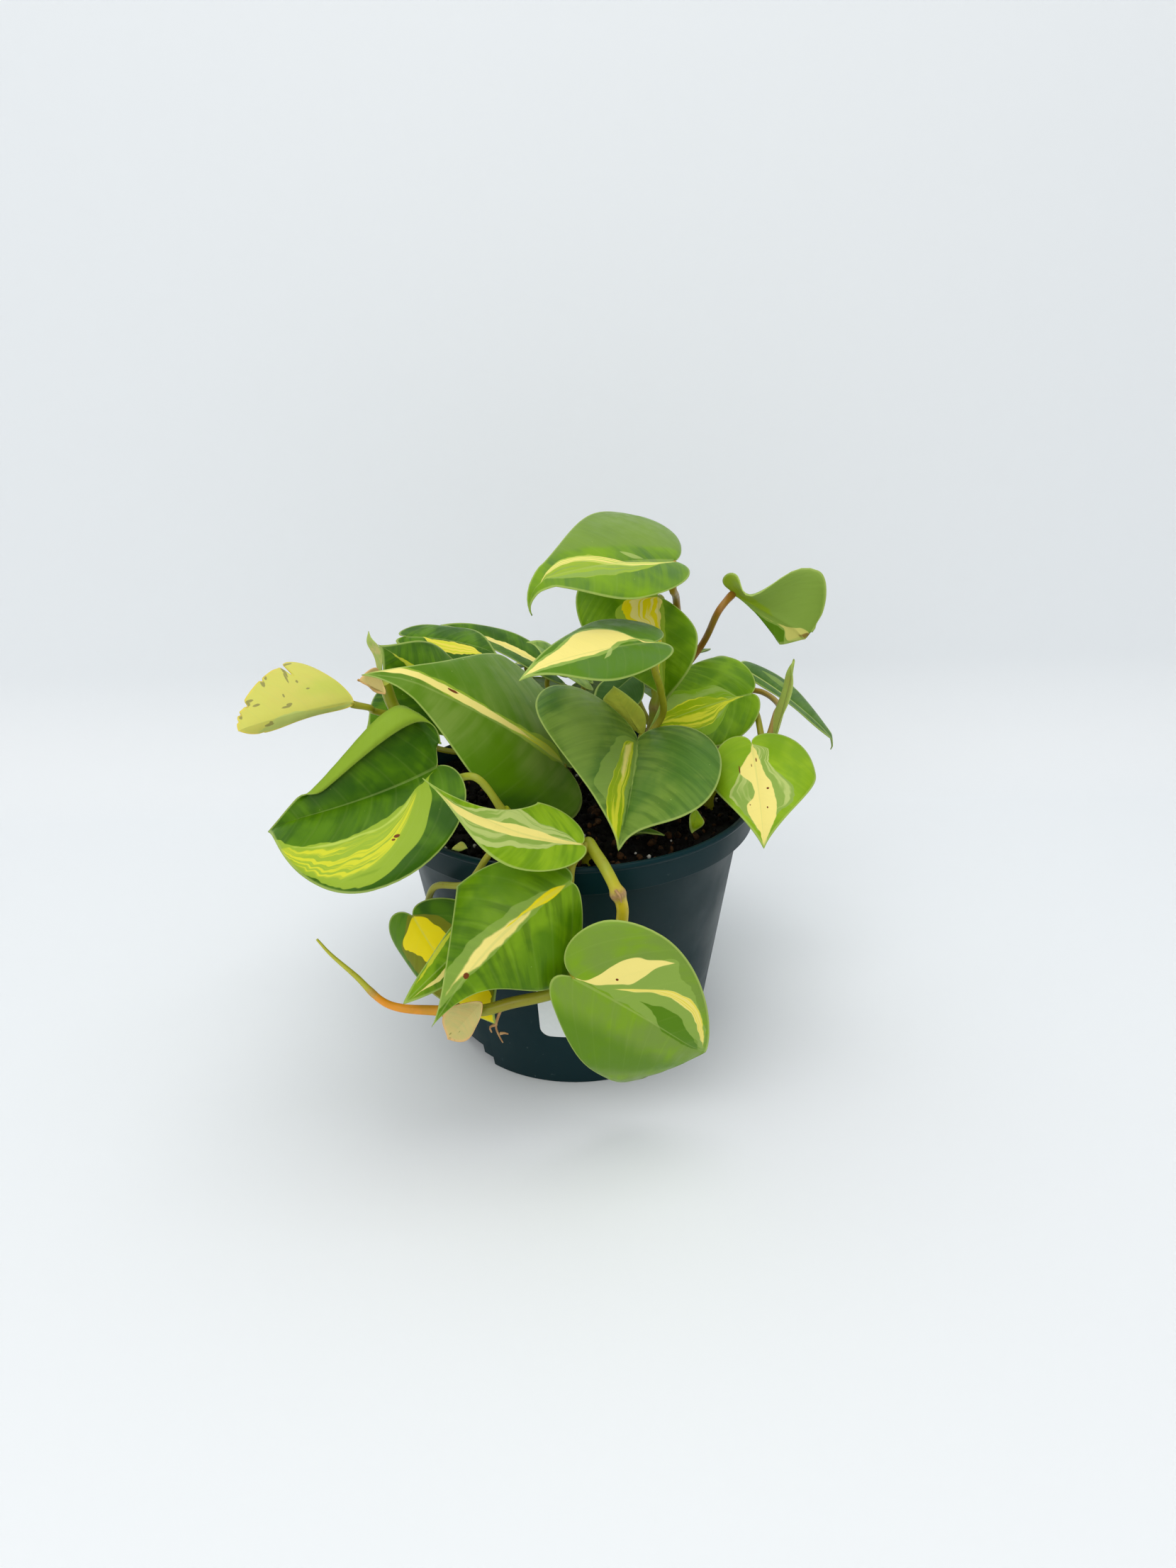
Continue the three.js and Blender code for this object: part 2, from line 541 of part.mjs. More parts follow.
// The pot turned in one piece, with notches and slots cut where it drains.
function makePot() {
  const slope = (shoulderRadius - footRadius) / (potHeight - bandHeight);
  const outerAt = (height) => footRadius + slope * height;
  const bandFoot = potHeight - bandHeight;
  const plateTop = plateUnderside + wall;
  const profile = [
    [0, plateUnderside],
    [outerAt(plateUnderside) - footRingWidth, plateUnderside],
    [footRadius - footRingWidth, 0],
    [footRadius, 0],
    [outerAt(bandFoot) - 0.3, bandFoot - 0.6],
    [outerAt(bandFoot), bandFoot],
    [bandFootRadius, bandFoot],
    [lipRadius - 0.5, potHeight - 1.6],
    [lipRadius, potHeight - 0.9],
    [lipRadius - 0.5, potHeight],
    [lipRadius - 1.6, potHeight - 0.1],
    [lipRadius - 1.9, potHeight - 0.9],
    [bandFootRadius - wall, bandFoot + wall],
    [shoulderRadius - wall, bandFoot + wall],
    [outerAt(plateTop) - wall, plateTop],
    [0, plateTop],
  ];
  const points = profile.map(([radius, height]) => new THREE.Vector2(radius, height));
  let pot = solidOf(new THREE.LatheGeometry([...points, points[0]], potSegments).rotateX(Math.PI / 2));
  for (let i = 0; i < drainNotch.count; i++) {
    const angle = drainNotch.firstAngle + (i * 360) / drainNotch.count;
    const turn = new THREE.Matrix4().makeRotationZ(radians(angle));
    const notch = new THREE.BoxGeometry(drainNotch.width, 8, 2 * drainNotch.height);
    notch.translate(0, -footRadius, 0).applyMatrix4(turn);
    const slot = new THREE.BoxGeometry(drainSlot.width, 2 * drainSlot.reach, drainSlot.top);
    slot.translate(0, -footRadius, drainSlot.top / 2).applyMatrix4(turn);
    pot = pot.subtract(solidOf(notch)).subtract(solidOf(slot));
  }
  return namedMesh("pot", geometryOf(pot), colours.pot, 0.55);
}

// The label: a strip of upright columns on the wall's cone, whose ends are shortened to round its corners.
function makeLabel() {
  const slope = (shoulderRadius - footRadius) / (potHeight - bandHeight);
  const middleRadius = footRadius + (slope * (label.bottom + label.top)) / 2;
  const reach = radians(label.to - label.from);
  const cornerAngle = label.corner / middleRadius;
  const angles = [0, 0.15, 0.5, 1].map((share) => share * cornerAngle);
  for (let i = 1; i < label.columns; i++) {
    angles.push(cornerAngle + (i / label.columns) * (reach - 2 * cornerAngle));
  }
  angles.push(...[1, 0.5, 0.15, 0].map((share) => reach - share * cornerAngle));
  const points = [];
  for (const depth of [clearance + label.thickness, clearance]) {
    for (const angle of angles) {
      const inset = Math.max(0, 1 - Math.min(angle, reach - angle) / cornerAngle);
      const cut = label.corner * (1 - Math.sqrt(1 - inset * inset));
      const turn = radians(label.from) + angle - Math.PI / 2;
      for (const height of [label.bottom + cut, label.top - cut]) {
        const radius = footRadius + slope * height + depth;
        points.push(new THREE.Vector3(radius * Math.cos(turn), radius * Math.sin(turn), height));
      }
    }
  }
  const half = points.length / 2;
  const index = [];
  for (let i = 0; i < half - 2; i += 2) {
    index.push(i, i + 2, i + 3, i, i + 3, i + 1);
    index.push(half + i, half + i + 3, half + i + 2, half + i, half + i + 1, half + i + 3);
    index.push(i, half + i, half + i + 2, i, half + i + 2, i + 2);
    index.push(i + 1, i + 3, half + i + 3, i + 1, half + i + 3, half + i + 1);
  }
  const last = half - 2;
  index.push(0, 1, half + 1, 0, half + 1, half);
  index.push(last, half + last, half + last + 1, last, half + last + 1, last + 1);
  const sheet = new THREE.BufferGeometry().setFromPoints(points).setIndex(index);
  return namedMesh("label", sheet, colours.label, 0.5);
}

// The soil fills the pot up to a crumbly mound, with a plain hole for each stem.
function makeSoil() {
  const slope = (shoulderRadius - footRadius) / (potHeight - bandHeight);
  const ledge = potHeight - bandHeight + wall;
  const floor = plateUnderside + wall + clearance;
  const inset = wall + clearance + 0.1;
  const sideProfile = [
    [footRadius + slope * floor - inset, floor],
    [shoulderRadius - inset, ledge + clearance],
    [bandFootRadius - inset, ledge + clearance],
    [bandFootRadius - inset, soil.edgeHeight],
  ];
  const topAt = (share, angle) => {
    const ripple = Math.sin(5 * angle + 9 * share) * Math.sin(7 * angle - 17 * share);
    const crumb = ripple * Math.min(1, 4 * (1 - share));
    return soil.edgeHeight + soil.crown * (1 - share * share) + soil.crumb * crumb;
  };
  const rings = sideProfile.map(([radius, height]) => () => [radius, height]);
  for (let i = soil.rings - 1; i > 0; i--) {
    const share = i / soil.rings;
    rings.push((angle) => [share * (bandFootRadius - inset), topAt(share, angle)]);
  }
  const points = [];
  for (const ring of rings) {
    for (let j = 0; j < soil.sectors; j++) {
      const angle = (j / soil.sectors) * 2 * Math.PI;
      const [radius, height] = ring(angle);
      points.push(new THREE.Vector3(radius * Math.cos(angle), radius * Math.sin(angle), height));
    }
  }
  const bottom = points.push(new THREE.Vector3(0, 0, floor)) - 1;
  const top = points.push(new THREE.Vector3(0, 0, topAt(0, 0))) - 1;
  const index = [];
  for (let j = 0; j < soil.sectors; j++) {
    const next = (j + 1) % soil.sectors;
    index.push(bottom, next, j);
    for (let i = 0; i < rings.length - 1; i++) {
      const [low, high] = [i * soil.sectors, (i + 1) * soil.sectors];
      index.push(low + j, low + next, high + next, low + j, high + next, high + j);
    }
    const lastRing = (rings.length - 1) * soil.sectors;
    index.push(lastRing + j, lastRing + next, top);
  }
  let body = solidOf(new THREE.BufferGeometry().setFromPoints(points).setIndex(index));
  for (const vine of Object.values(vines)) {
    const [x, y] = vine.foot;
    const height = potHeight + soil.crown - stemHoleFloor;
    const hole = new THREE.CylinderGeometry(vine.radius + clearance, vine.radius + clearance, height, 12);
    hole.rotateX(Math.PI / 2).translate(x, y, stemHoleFloor + height / 2);
    body = body.subtract(solidOf(hole));
  }
  return namedMesh("soil", geometryOf(body), colours.soil, 1);
}

// Each stem rises straight out of its hole before it bends.
for (const vine of Object.values(vines)) {
  const upright = [stemHoleFloor + clearance, 64, 70, 75.5].map((height) => [...vine.foot, height]);
  vine.curve = new THREE.CatmullRomCurve3([...upright, ...vine.path].map(vector));
}

const plant = new THREE.Group();
plant.add(makePot(), makeLabel(), makeSoil(), ...makeVines(), ...makeLeaves());

export default plant;
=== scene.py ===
import math
import bpy
from mathutils import Matrix, Vector, noise


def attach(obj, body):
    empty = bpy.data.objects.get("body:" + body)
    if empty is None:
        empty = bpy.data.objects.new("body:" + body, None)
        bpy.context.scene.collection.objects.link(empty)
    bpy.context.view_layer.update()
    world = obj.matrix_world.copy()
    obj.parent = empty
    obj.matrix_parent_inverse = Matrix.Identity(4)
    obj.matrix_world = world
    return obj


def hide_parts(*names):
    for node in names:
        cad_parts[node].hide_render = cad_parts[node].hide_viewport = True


# A brasil philodendron in its nursery pot. All sizes below are millimetres, -Y is the front.
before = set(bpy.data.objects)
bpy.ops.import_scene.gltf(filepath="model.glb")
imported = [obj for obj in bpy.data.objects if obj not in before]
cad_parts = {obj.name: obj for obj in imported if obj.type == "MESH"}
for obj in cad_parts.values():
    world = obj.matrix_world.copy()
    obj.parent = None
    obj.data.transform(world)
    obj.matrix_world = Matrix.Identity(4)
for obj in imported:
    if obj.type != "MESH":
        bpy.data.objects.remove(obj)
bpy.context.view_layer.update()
mm = 0.001
up = Vector((0, 0, 1))


# helpers for materials
def paint(red, green, blue):
    # screen colour to the linear one that the nodes want
    def linear(value):
        value /= 255
        return value / 12.92 if value <= 0.04045 else ((value + 0.055) / 1.055) ** 2.4
    return (linear(red), linear(green), linear(blue), 1.0)


class Finish:
    # a material whose nodes are added one call at a time
    def __init__(self, name, roughness=0.45, specular=0.5):
        self.material = bpy.data.materials.new(name)
        self.material.use_nodes = True
        self.tree = self.material.node_tree
        self.shader = self.tree.nodes["Principled BSDF"]
        self.shader.inputs["Roughness"].default_value = roughness
        self.shader.inputs["Specular IOR Level"].default_value = specular

    def add(self, kind, inputs=(), **settings):
        node = self.tree.nodes.new("ShaderNode" + kind)
        for key, value in settings.items():
            setattr(node, key, value)
        for key, value in dict(inputs).items():
            self.feed(node.inputs[key], value)
        return node

    def feed(self, socket, value):
        if hasattr(value, "links"):
            self.tree.links.new(value, socket)
        else:
            socket.default_value = value

    def math(self, operation, a, b=0.0):
        return self.add("Math", {0: a, 1: b}, operation=operation).outputs[0]

    def ramp(self, value, low, high, toLow=0.0, toHigh=1.0, smooth=True):
        kind = "SMOOTHSTEP" if smooth else "LINEAR"
        inputs = {"Value": value, "From Min": low, "From Max": high, "To Min": toLow, "To Max": toHigh}
        return self.add("MapRange", inputs, interpolation_type=kind).outputs["Result"]

    def mix(self, share, a, b):
        node = self.add("Mix", {"Factor": share}, data_type="RGBA")
        self.feed(node.inputs[6], a)
        self.feed(node.inputs[7], b)
        return node.outputs[2]

    def noise(self, vector, scale, detail=3.0, roughness=0.5, distortion=0.0):
        inputs = {
            "Vector": vector, "Scale": scale, "Detail": detail, "Roughness": roughness,
            "Distortion": distortion,
        }
        return self.add("TexNoise", inputs).outputs["Fac"]

    def line(self, value, seed, scale, detail=1.0):
        # noise along one number only
        node = self.add("TexNoise", noise_dimensions="1D")
        self.feed(node.inputs["W"], self.math("ADD", value, seed))
        node.inputs["Scale"].default_value = scale
        node.inputs["Detail"].default_value = detail
        return node.outputs["Fac"]

    def curve(self, value, points):
        node = self.add("FloatCurve", {"Value": value})
        own = node.mapping.curves[0]
        own.points[0].location = points[0]
        own.points[1].location = points[-1]
        for point in points[1:-1]:
            own.points.new(*point)
        for point in own.points:
            point.handle_type = "AUTO_CLAMPED"
        node.mapping.update()
        return node.outputs["Value"]

    def vector(self, x, y, z=0.0):
        return self.add("CombineXYZ", {"X": x, "Y": y, "Z": z}).outputs[0]

    def place(self):
        return self.add("TexCoord").outputs["Object"]

    def attribute(self, name, output="Fac"):
        return self.add("Attribute", attribute_name=name).outputs[output]

    def bump(self, height, distance, strength=1.0):
        inputs = {"Height": height, "Distance": distance, "Strength": strength}
        node = self.add("Bump", inputs)
        self.feed(self.shader.inputs["Normal"], node.outputs[0])

    def colour(self, value):
        self.feed(self.shader.inputs["Base Color"], value)

    def roughness(self, value):
        self.feed(self.shader.inputs["Roughness"], value)


# camera, floor and lights
view = {
    "place": (0.0, -300.37, 204.91),
    "right": (0.99962, -0.02152, -0.01698),
    "up": (0.02408, 0.39354, 0.91899),
    "lens": 26.04,
}


def makeCamera():
    data = bpy.data.cameras.new("camera")
    data.lens = view["lens"]
    data.sensor_width = 36
    data.clip_start = 0.01
    camera = bpy.data.objects.new("camera", data)
    right, top = Vector(view["right"]), Vector(view["up"])
    turned = Matrix((right, top, right.cross(top))).transposed().to_4x4()
    turned.translation = Vector(view["place"]) * mm
    camera.matrix_world = turned
    bpy.context.scene.collection.objects.link(camera)
    bpy.context.scene.camera = camera


sweep = {
    "halfWidth": 2600, "front": -1600, "bendStart": 151, "bendRadius": 50, "bendSteps": 24, "height": 2400,
}


def linkMesh(name, points, faces, material):
    mesh = bpy.data.meshes.new(name)
    mesh.from_pydata([Vector(point) * mm for point in points], [], faces)
    mesh.materials.append(material)
    for face in mesh.polygons:
        face.use_smooth = True
    piece = bpy.data.objects.new(name, mesh)
    bpy.context.scene.collection.objects.link(piece)
    return piece


def makeSweep():
    finish = Finish("paperSweep", 0.85, 0.2)
    place = finish.place()
    cloudy = finish.noise(place, 1.6, 2.0)
    finish.colour(finish.mix(cloudy, paint(236, 240, 243), paint(243, 245, 247)))
    finish.bump(finish.noise(place, 900.0, 2.0), 0.00005, 0.2)
    # seen from behind the paper is clear, so that it hides nothing in views of the plant's back
    behind = finish.add("NewGeometry").outputs["Backfacing"]
    clear = finish.add("BsdfTransparent").outputs[0]
    paper = finish.add("MixShader", {0: behind, 1: finish.shader.outputs[0], 2: clear}).outputs[0]
    finish.feed(finish.tree.nodes["Material Output"].inputs["Surface"], paper)
    profile = [(sweep["front"], 0.0), (sweep["bendStart"], 0.0)]
    for i in range(1, sweep["bendSteps"] + 1):
        angle = math.pi / 2 * i / sweep["bendSteps"]
        reach = sweep["bendStart"] + sweep["bendRadius"] * math.sin(angle)
        profile.append((reach, sweep["bendRadius"] * (1 - math.cos(angle))))
    profile.append((profile[-1][0], sweep["height"]))
    points = [(side * sweep["halfWidth"], y, z) for y, z in profile for side in (-1, 1)]
    faces = [(i, i + 1, i + 3, i + 2) for i in range(0, len(points) - 2, 2)]
    floor = linkMesh("floor", points, faces, finish.material)


lamps = {
    "key": {"place": (100, 20, 1000), "size": 900, "watts": 3.6, "colour": (1.0, 0.99, 0.97)},
    "fill": {"place": (-300, -900, 800), "size": 1000, "watts": 4.6, "colour": (1.0, 0.995, 0.985)},
}
sky = {"colour": (0.95, 0.965, 0.975), "strength": 0.54}
aimHeight = 80


def makeLights():
    for name, lamp in lamps.items():
        data = bpy.data.lights.new(name, "AREA")
        data.shape = "DISK"
        data.size = lamp["size"] * mm
        data.energy = lamp["watts"]
        data.color = lamp["colour"]
        light = bpy.data.objects.new(name, data)
        light.location = Vector(lamp["place"]) * mm
        aim = Vector((0, 0, aimHeight * mm)) - light.location
        light.rotation_euler = aim.to_track_quat("-Z", "Y").to_euler()
        bpy.context.scene.collection.objects.link(light)
    world = bpy.data.worlds.new("studio")
    bpy.context.scene.world = world
    world.use_nodes = True
    ground = world.node_tree.nodes["Background"]
    ground.inputs["Color"].default_value = (*sky["colour"], 1)
    ground.inputs["Strength"].default_value = sky["strength"]
    bpy.context.scene.view_settings.view_transform = "Standard"


makeCamera()
makeSweep()
makeLights()
print("camera, floor and lights")


# pot
pot = {
    "height": 76, "lipRadius": 52.5, "bandHeight": 8, "bandFootRadius": 51.6, "shoulderRadius": 48,
    "footRadius": 37.5, "wall": 1.2, "plateUnderside": 3.5, "footRingWidth": 1.6,
    "segments": 160, "notches": 4, "firstNotch": 35, "notchWidth": 18, "notchHeight": 3,
    "notchDepth": 8, "slotWidth": 11, "slotTop": 5.8, "slotDepth": 6.8, "bandStep": 0.6, "lipEase": 0.45,
    "lipFace": 0.9, "lipTop": 1.1, "lipBack": 1.9,
}
cornerSteps = 4
slope = (pot["shoulderRadius"] - pot["footRadius"]) / (pot["height"] - pot["bandHeight"])


def wallAt(height):
    return pot["footRadius"] + slope * height


class Tree:
    # a geometry node tree, its inputs declared by name and value
    def __init__(self, name, inputs):
        self.group = bpy.data.node_groups.new(name, "GeometryNodeTree")
        face = self.group.interface
        face.new_socket("Geometry", in_out="INPUT", socket_type="NodeSocketGeometry")
        face.new_socket("Geometry", in_out="OUTPUT", socket_type="NodeSocketGeometry")
        self.values = {}
        for key, value in inputs.items():
            kind = "NodeSocketInt" if isinstance(value, int) else "NodeSocketFloat"
            socket = face.new_socket(key, in_out="INPUT", socket_type=kind)
            self.values[socket.identifier] = value
        self.start = self.group.nodes.new("NodeGroupInput")
        self.end = self.group.nodes.new("NodeGroupOutput")
        self.source = self.start.outputs["Geometry"]

    def input(self, name):
        return self.start.outputs[name]

    def add(self, kind, inputs=(), **settings):
        node = self.group.nodes.new(kind)
        for key, value in settings.items():
            setattr(node, key, value)
        for key, value in dict(inputs).items():
            sockets = value if isinstance(value, list) else [value]
            for socket in sockets:
                if hasattr(socket, "links"):
                    self.group.links.new(socket, node.inputs[key])
                else:
                    node.inputs[key].default_value = socket
        return node

    def geometry(self, kind, inputs=(), **settings):
        return self.add("GeometryNode" + kind, inputs, **settings).outputs[0]

    def named(self, name):
        return self.add("GeometryNodeInputNamedAttribute", {"Name": name}, data_type="FLOAT").outputs[0]

    def math(self, operation, a, b=0.0):
        return self.add("ShaderNodeMath", {0: a, 1: b}, operation=operation).outputs[0]

    def vector(self, x=0.0, y=0.0, z=0.0):
        return self.add("ShaderNodeCombineXYZ", {"X": x, "Y": y, "Z": z}).outputs[0]

    def random(self, low, high, seed):
        kind = "FLOAT_VECTOR" if isinstance(low, tuple) else "FLOAT"
        start = 0 if isinstance(low, tuple) else 2
        inputs = {start: low, start + 1: high, "Seed": seed}
        node = self.add("FunctionNodeRandomValue", inputs, data_type=kind)
        return node.outputs[0 if isinstance(low, tuple) else 1]

    def finish(self, geometry, material):
        realized = self.geometry("RealizeInstances", {"Geometry": geometry})
        done = self.add("GeometryNodeSetMaterial", {"Geometry": realized, "Material": material})
        self.group.links.new(done.outputs[0], self.end.inputs[0])

    def run(self, carrier, name):
        # evaluates the tree on the carrier and keeps the result as a plain mesh
        modifier = carrier.modifiers.new(name, "NODES")
        modifier.node_group = self.group
        for identifier, value in self.values.items():
            modifier[identifier] = value
        graph = bpy.context.evaluated_depsgraph_get()
        mesh = bpy.data.meshes.new_from_object(carrier.evaluated_get(graph), depsgraph=graph)
        carrier.modifiers.remove(modifier)
        bpy.data.objects.remove(carrier)
        mesh.name = name
        piece = bpy.data.objects.new(name, mesh)
        bpy.context.scene.collection.objects.link(piece)
        return piece


def carrierOf(points, edges, attributes=()):
    # loose points and edges that a node tree starts from
    mesh = bpy.data.meshes.new("carrier")
    mesh.from_pydata([Vector(point) * mm for point in points], edges, [])
    for key, values in dict(attributes).items():
        layer = mesh.attributes.new(key, "FLOAT", "POINT")
        for item, value in zip(layer.data, values):
            item.value = value
    piece = bpy.data.objects.new("carrier", mesh)
    bpy.context.scene.collection.objects.link(piece)
    return piece


def shadeByAngle(piece, degrees):
    piece.data.set_sharp_from_angle(angle=math.radians(degrees))
    for face in piece.data.polygons:
        face.use_smooth = True


def rounded(profile, radii):
    # replaces a profile's corners with short arcs
    count = len(profile)
    result = []
    for i, corner in enumerate(profile):
        radius = radii.get(i, 0)
        here = Vector(corner)
        if not radius:
            result.append(here)
            continue
        before = (Vector(profile[i - 1]) - here).normalized()
        after = (Vector(profile[(i + 1) % count]) - here).normalized()
        for step in range(cornerSteps + 1):
            share = step / cornerSteps
            a = here + before * radius * (1 - share)
            b = here + after * radius * share
            result.append(a.lerp(b, share))
    return result


def makePot():
    bandFoot = pot["height"] - pot["bandHeight"]
    plateTop = pot["plateUnderside"] + pot["wall"]
    lip, top = pot["lipRadius"], pot["height"]
    profile = [
        (0, pot["plateUnderside"]),
        (wallAt(pot["plateUnderside"]) - pot["footRingWidth"], pot["plateUnderside"]),
        (pot["footRadius"] - pot["footRingWidth"], 0),
        (pot["footRadius"], 0),
        (wallAt(bandFoot) - 0.05, bandFoot - pot["bandStep"]),
        (wallAt(bandFoot) + 0.25, bandFoot),
        (pot["bandFootRadius"], bandFoot),
        (lip - pot["lipEase"], top - pot["lipFace"] - 0.7),
        (lip, top - pot["lipFace"]),
        (lip - 0.5, top),
        (lip - 0.5 - pot["lipTop"], top - 0.1),
        (lip - pot["lipBack"], top - pot["lipFace"]),
        (pot["bandFootRadius"] - pot["wall"], bandFoot + pot["wall"]),
        (pot["shoulderRadius"] - pot["wall"], bandFoot + pot["wall"]),
        (wallAt(plateTop) - pot["wall"], plateTop),
        (0, plateTop),
    ]
    # corner of the section: its rounding
    radii = {2: 0.4, 3: 0.5, 5: 0.2, 6: 0.35, 8: 0.3, 9: 0.35, 10: 0.3, 12: 0.4, 13: 0.4, 14: 0.6}
    outline = rounded(profile, radii)
    carrier = carrierOf([(r, -z, 0) for r, z in outline], [(i, i + 1) for i in range(len(outline) - 1)])
    tree = Tree("turnedPot", {
        "Segments": pot["segments"], "Notches": pot["notches"],
        "First Notch": math.radians(pot["firstNotch"]),
        "Foot Radius": pot["footRadius"] * mm, "Notch Width": pot["notchWidth"] * mm,
        "Notch Height": pot["notchHeight"] * mm, "Slot Width": pot["slotWidth"] * mm,
        "Slot Top": pot["slotTop"] * mm, "Notch Depth": pot["notchDepth"] * mm,
        "Slot Depth": pot["slotDepth"] * mm,
    })
    profileCurve = tree.geometry("MeshToCurve", {"Mesh": tree.source})
    axle = tree.geometry("CurvePrimitiveCircle", {"Resolution": tree.input("Segments"), "Radius": 1e-6})
    turned = tree.geometry("CurveToMesh", {"Curve": axle, "Profile Curve": profileCurve})
    turned = tree.geometry("MergeByDistance", {"Geometry": turned, "Distance": 5e-6})
    turned = tree.geometry("FlipFaces", {"Mesh": turned})
    spots = tree.geometry("MeshCircle", {
        "Vertices": tree.input("Notches"), "Radius": tree.input("Foot Radius")})
    around = tree.add("FunctionNodeAlignRotationToVector", {
        "Vector": tree.add("GeometryNodeInputPosition").outputs[0]}, axis="X")
    turn = tree.vector(0.0, 0.0, tree.input("First Notch"))
    for width, height, depth in (
        ("Notch Width", "Notch Height", "Notch Depth"),
        ("Slot Width", "Slot Top", "Slot Depth"),
    ):
        tall = tree.math("MULTIPLY", tree.input(height), 2.0)
        size = tree.vector(tree.input(depth), tree.input(width), tall)
        cutter = tree.geometry("MeshCube", {"Size": size})
        cuts = tree.geometry("InstanceOnPoints", {
            "Points": spots, "Instance": cutter, "Rotation": around.outputs[0]})
        cuts = tree.geometry("RealizeInstances", {"Geometry": cuts})
        cuts = tree.geometry("Transform", {"Geometry": cuts, "Rotation": turn})
        turned = tree.geometry("MeshBoolean", {"Mesh 1": turned, "Mesh 2": cuts}, operation="DIFFERENCE")
    tree.finish(turned, potFinish())
    piece = tree.run(carrier, "pot")
    piece.name = "nurseryPot"
    shadeByAngle(piece, 28)
    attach(piece, "root")
    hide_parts("pot")


def potFinish():
    finish = Finish("tealPotPlastic", specular=0.14)
    place = finish.place()
    tone = finish.noise(place, 28.0, 3.0)
    colour = finish.mix(tone, paint(0, 33, 37), paint(3, 42, 47))
    # pale dust, thicker near the foot
    height = finish.add("SeparateXYZ", {0: place}).outputs["Z"]
    low = finish.ramp(height, 0.03, 0.0)
    dust = finish.noise(place, 420.0, 4.0, 0.7)
    thick = finish.math("ADD", finish.math("MULTIPLY", low, 0.5), 0.08)
    dust = finish.math("MULTIPLY", finish.ramp(dust, 0.66, 0.78), thick)
    colour = finish.mix(dust, colour, paint(150, 160, 158))
    finish.colour(colour)
    finish.roughness(finish.ramp(finish.noise(place, 60.0, 4.0), 0.3, 0.7, 0.36, 0.5))
    grain = finish.noise(place, 2600.0, 2.0)
    finish.bump(grain, 0.00003, 0.35)
    return finish.material


makePot()
print("pot")


# label
label = {
    "from": -15, "to": 36, "bottom": 18, "top": 38.5, "thickness": 0.35, "corner": 3, "cornerSteps": 8,
    "gap": 0.3, "columns": 48,
}


def makeLabel():
    finish = Finish("labelPaper", 0.5, 0.4)
    place = finish.place()
    fibre = finish.noise(place, 700.0, 4.0, 0.6)
    finish.colour(finish.mix(fibre, paint(226, 231, 230), paint(238, 241, 240)))
    finish.bump(fibre, 0.00004, 0.3)
    middle = wallAt((label["bottom"] + label["top"]) / 2)
    reach = math.radians(label["to"] - label["from"])
    corner = label["corner"] / middle
    quarter = [math.pi / 2 * i / label["cornerSteps"] for i in range(label["cornerSteps"] + 1)]
    angles = [corner * (1 - math.cos(turn)) for turn in quarter]
    count = label["columns"]
    angles += [corner + (reach - 2 * corner) * i / count for i in range(1, count)]
    angles += [reach - corner * (1 - math.sin(turn)) for turn in quarter]
    points = []
    for depth in (label["gap"] + label["thickness"], label["gap"]):
        for angle in angles:
            inset = max(0.0, 1 - min(angle, reach - angle) / corner)
            cut = label["corner"] * (1 - math.sqrt(max(0.0, 1 - inset * inset)))
            turn = math.radians(label["from"]) + angle - math.pi / 2
            for height in (label["bottom"] + cut, label["top"] - cut):
                radius = wallAt(height) + depth
                points.append((radius * math.cos(turn), radius * math.sin(turn), height))
    half = len(points) // 2
    faces = []
    for i in range(0, half - 2, 2):
        faces.append((i, i + 2, i + 3, i + 1))
        faces.append((half + i, half + i + 1, half + i + 3, half + i + 2))
        faces.append((i, half + i, half + i + 2, i + 2))
        faces.append((i + 1, i + 3, half + i + 3, half + i + 1))
    last = half - 2
    faces.append((0, 1, half + 1, half))
    faces.append((last, half + last, half + last + 1, last + 1))
    piece = linkMesh("potLabel", points, faces, finish.material)
    shadeByAngle(piece, 40)
    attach(piece, "root")
    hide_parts("label")


makeLabel()
print("label")


# soil
soil = {
    "edgeHeight": 71.5, "crown": 2.5, "crumb": 0.7, "radius": 50, "floor": 5.2, "rings": 60, "sectors": 160,
    "clods": 1.1, "grain": 0.45,
}
bed = {"radius": 47.5, "rings": 16, "sectors": 64}


def soilTop(share, angle):
    crumb = math.sin(5 * angle + 9 * share) * math.sin(7 * angle - 17 * share) * min(1, 4 * (1 - share))
    return soil["edgeHeight"] + soil["crown"] * (1 - share * share) + soil["crumb"] * crumb


def soilFinish(name, dark, pale, scale, roughness):
    finish = Finish(name, roughness, 0.12)
    place = finish.place()
    tone = finish.noise(place, scale, 6.0, 0.65)
    colour = finish.mix(finish.ramp(tone, 0.3, 0.75), dark, pale)
    finish.colour(colour)
    finish.roughness(finish.ramp(finish.noise(place, scale * 2, 3.0), 0.35, 0.7, roughness - 0.2, roughness))
    finish.bump(finish.noise(place, scale * 3, 6.0, 0.7), 0.0004, 0.8)
    return finish.material


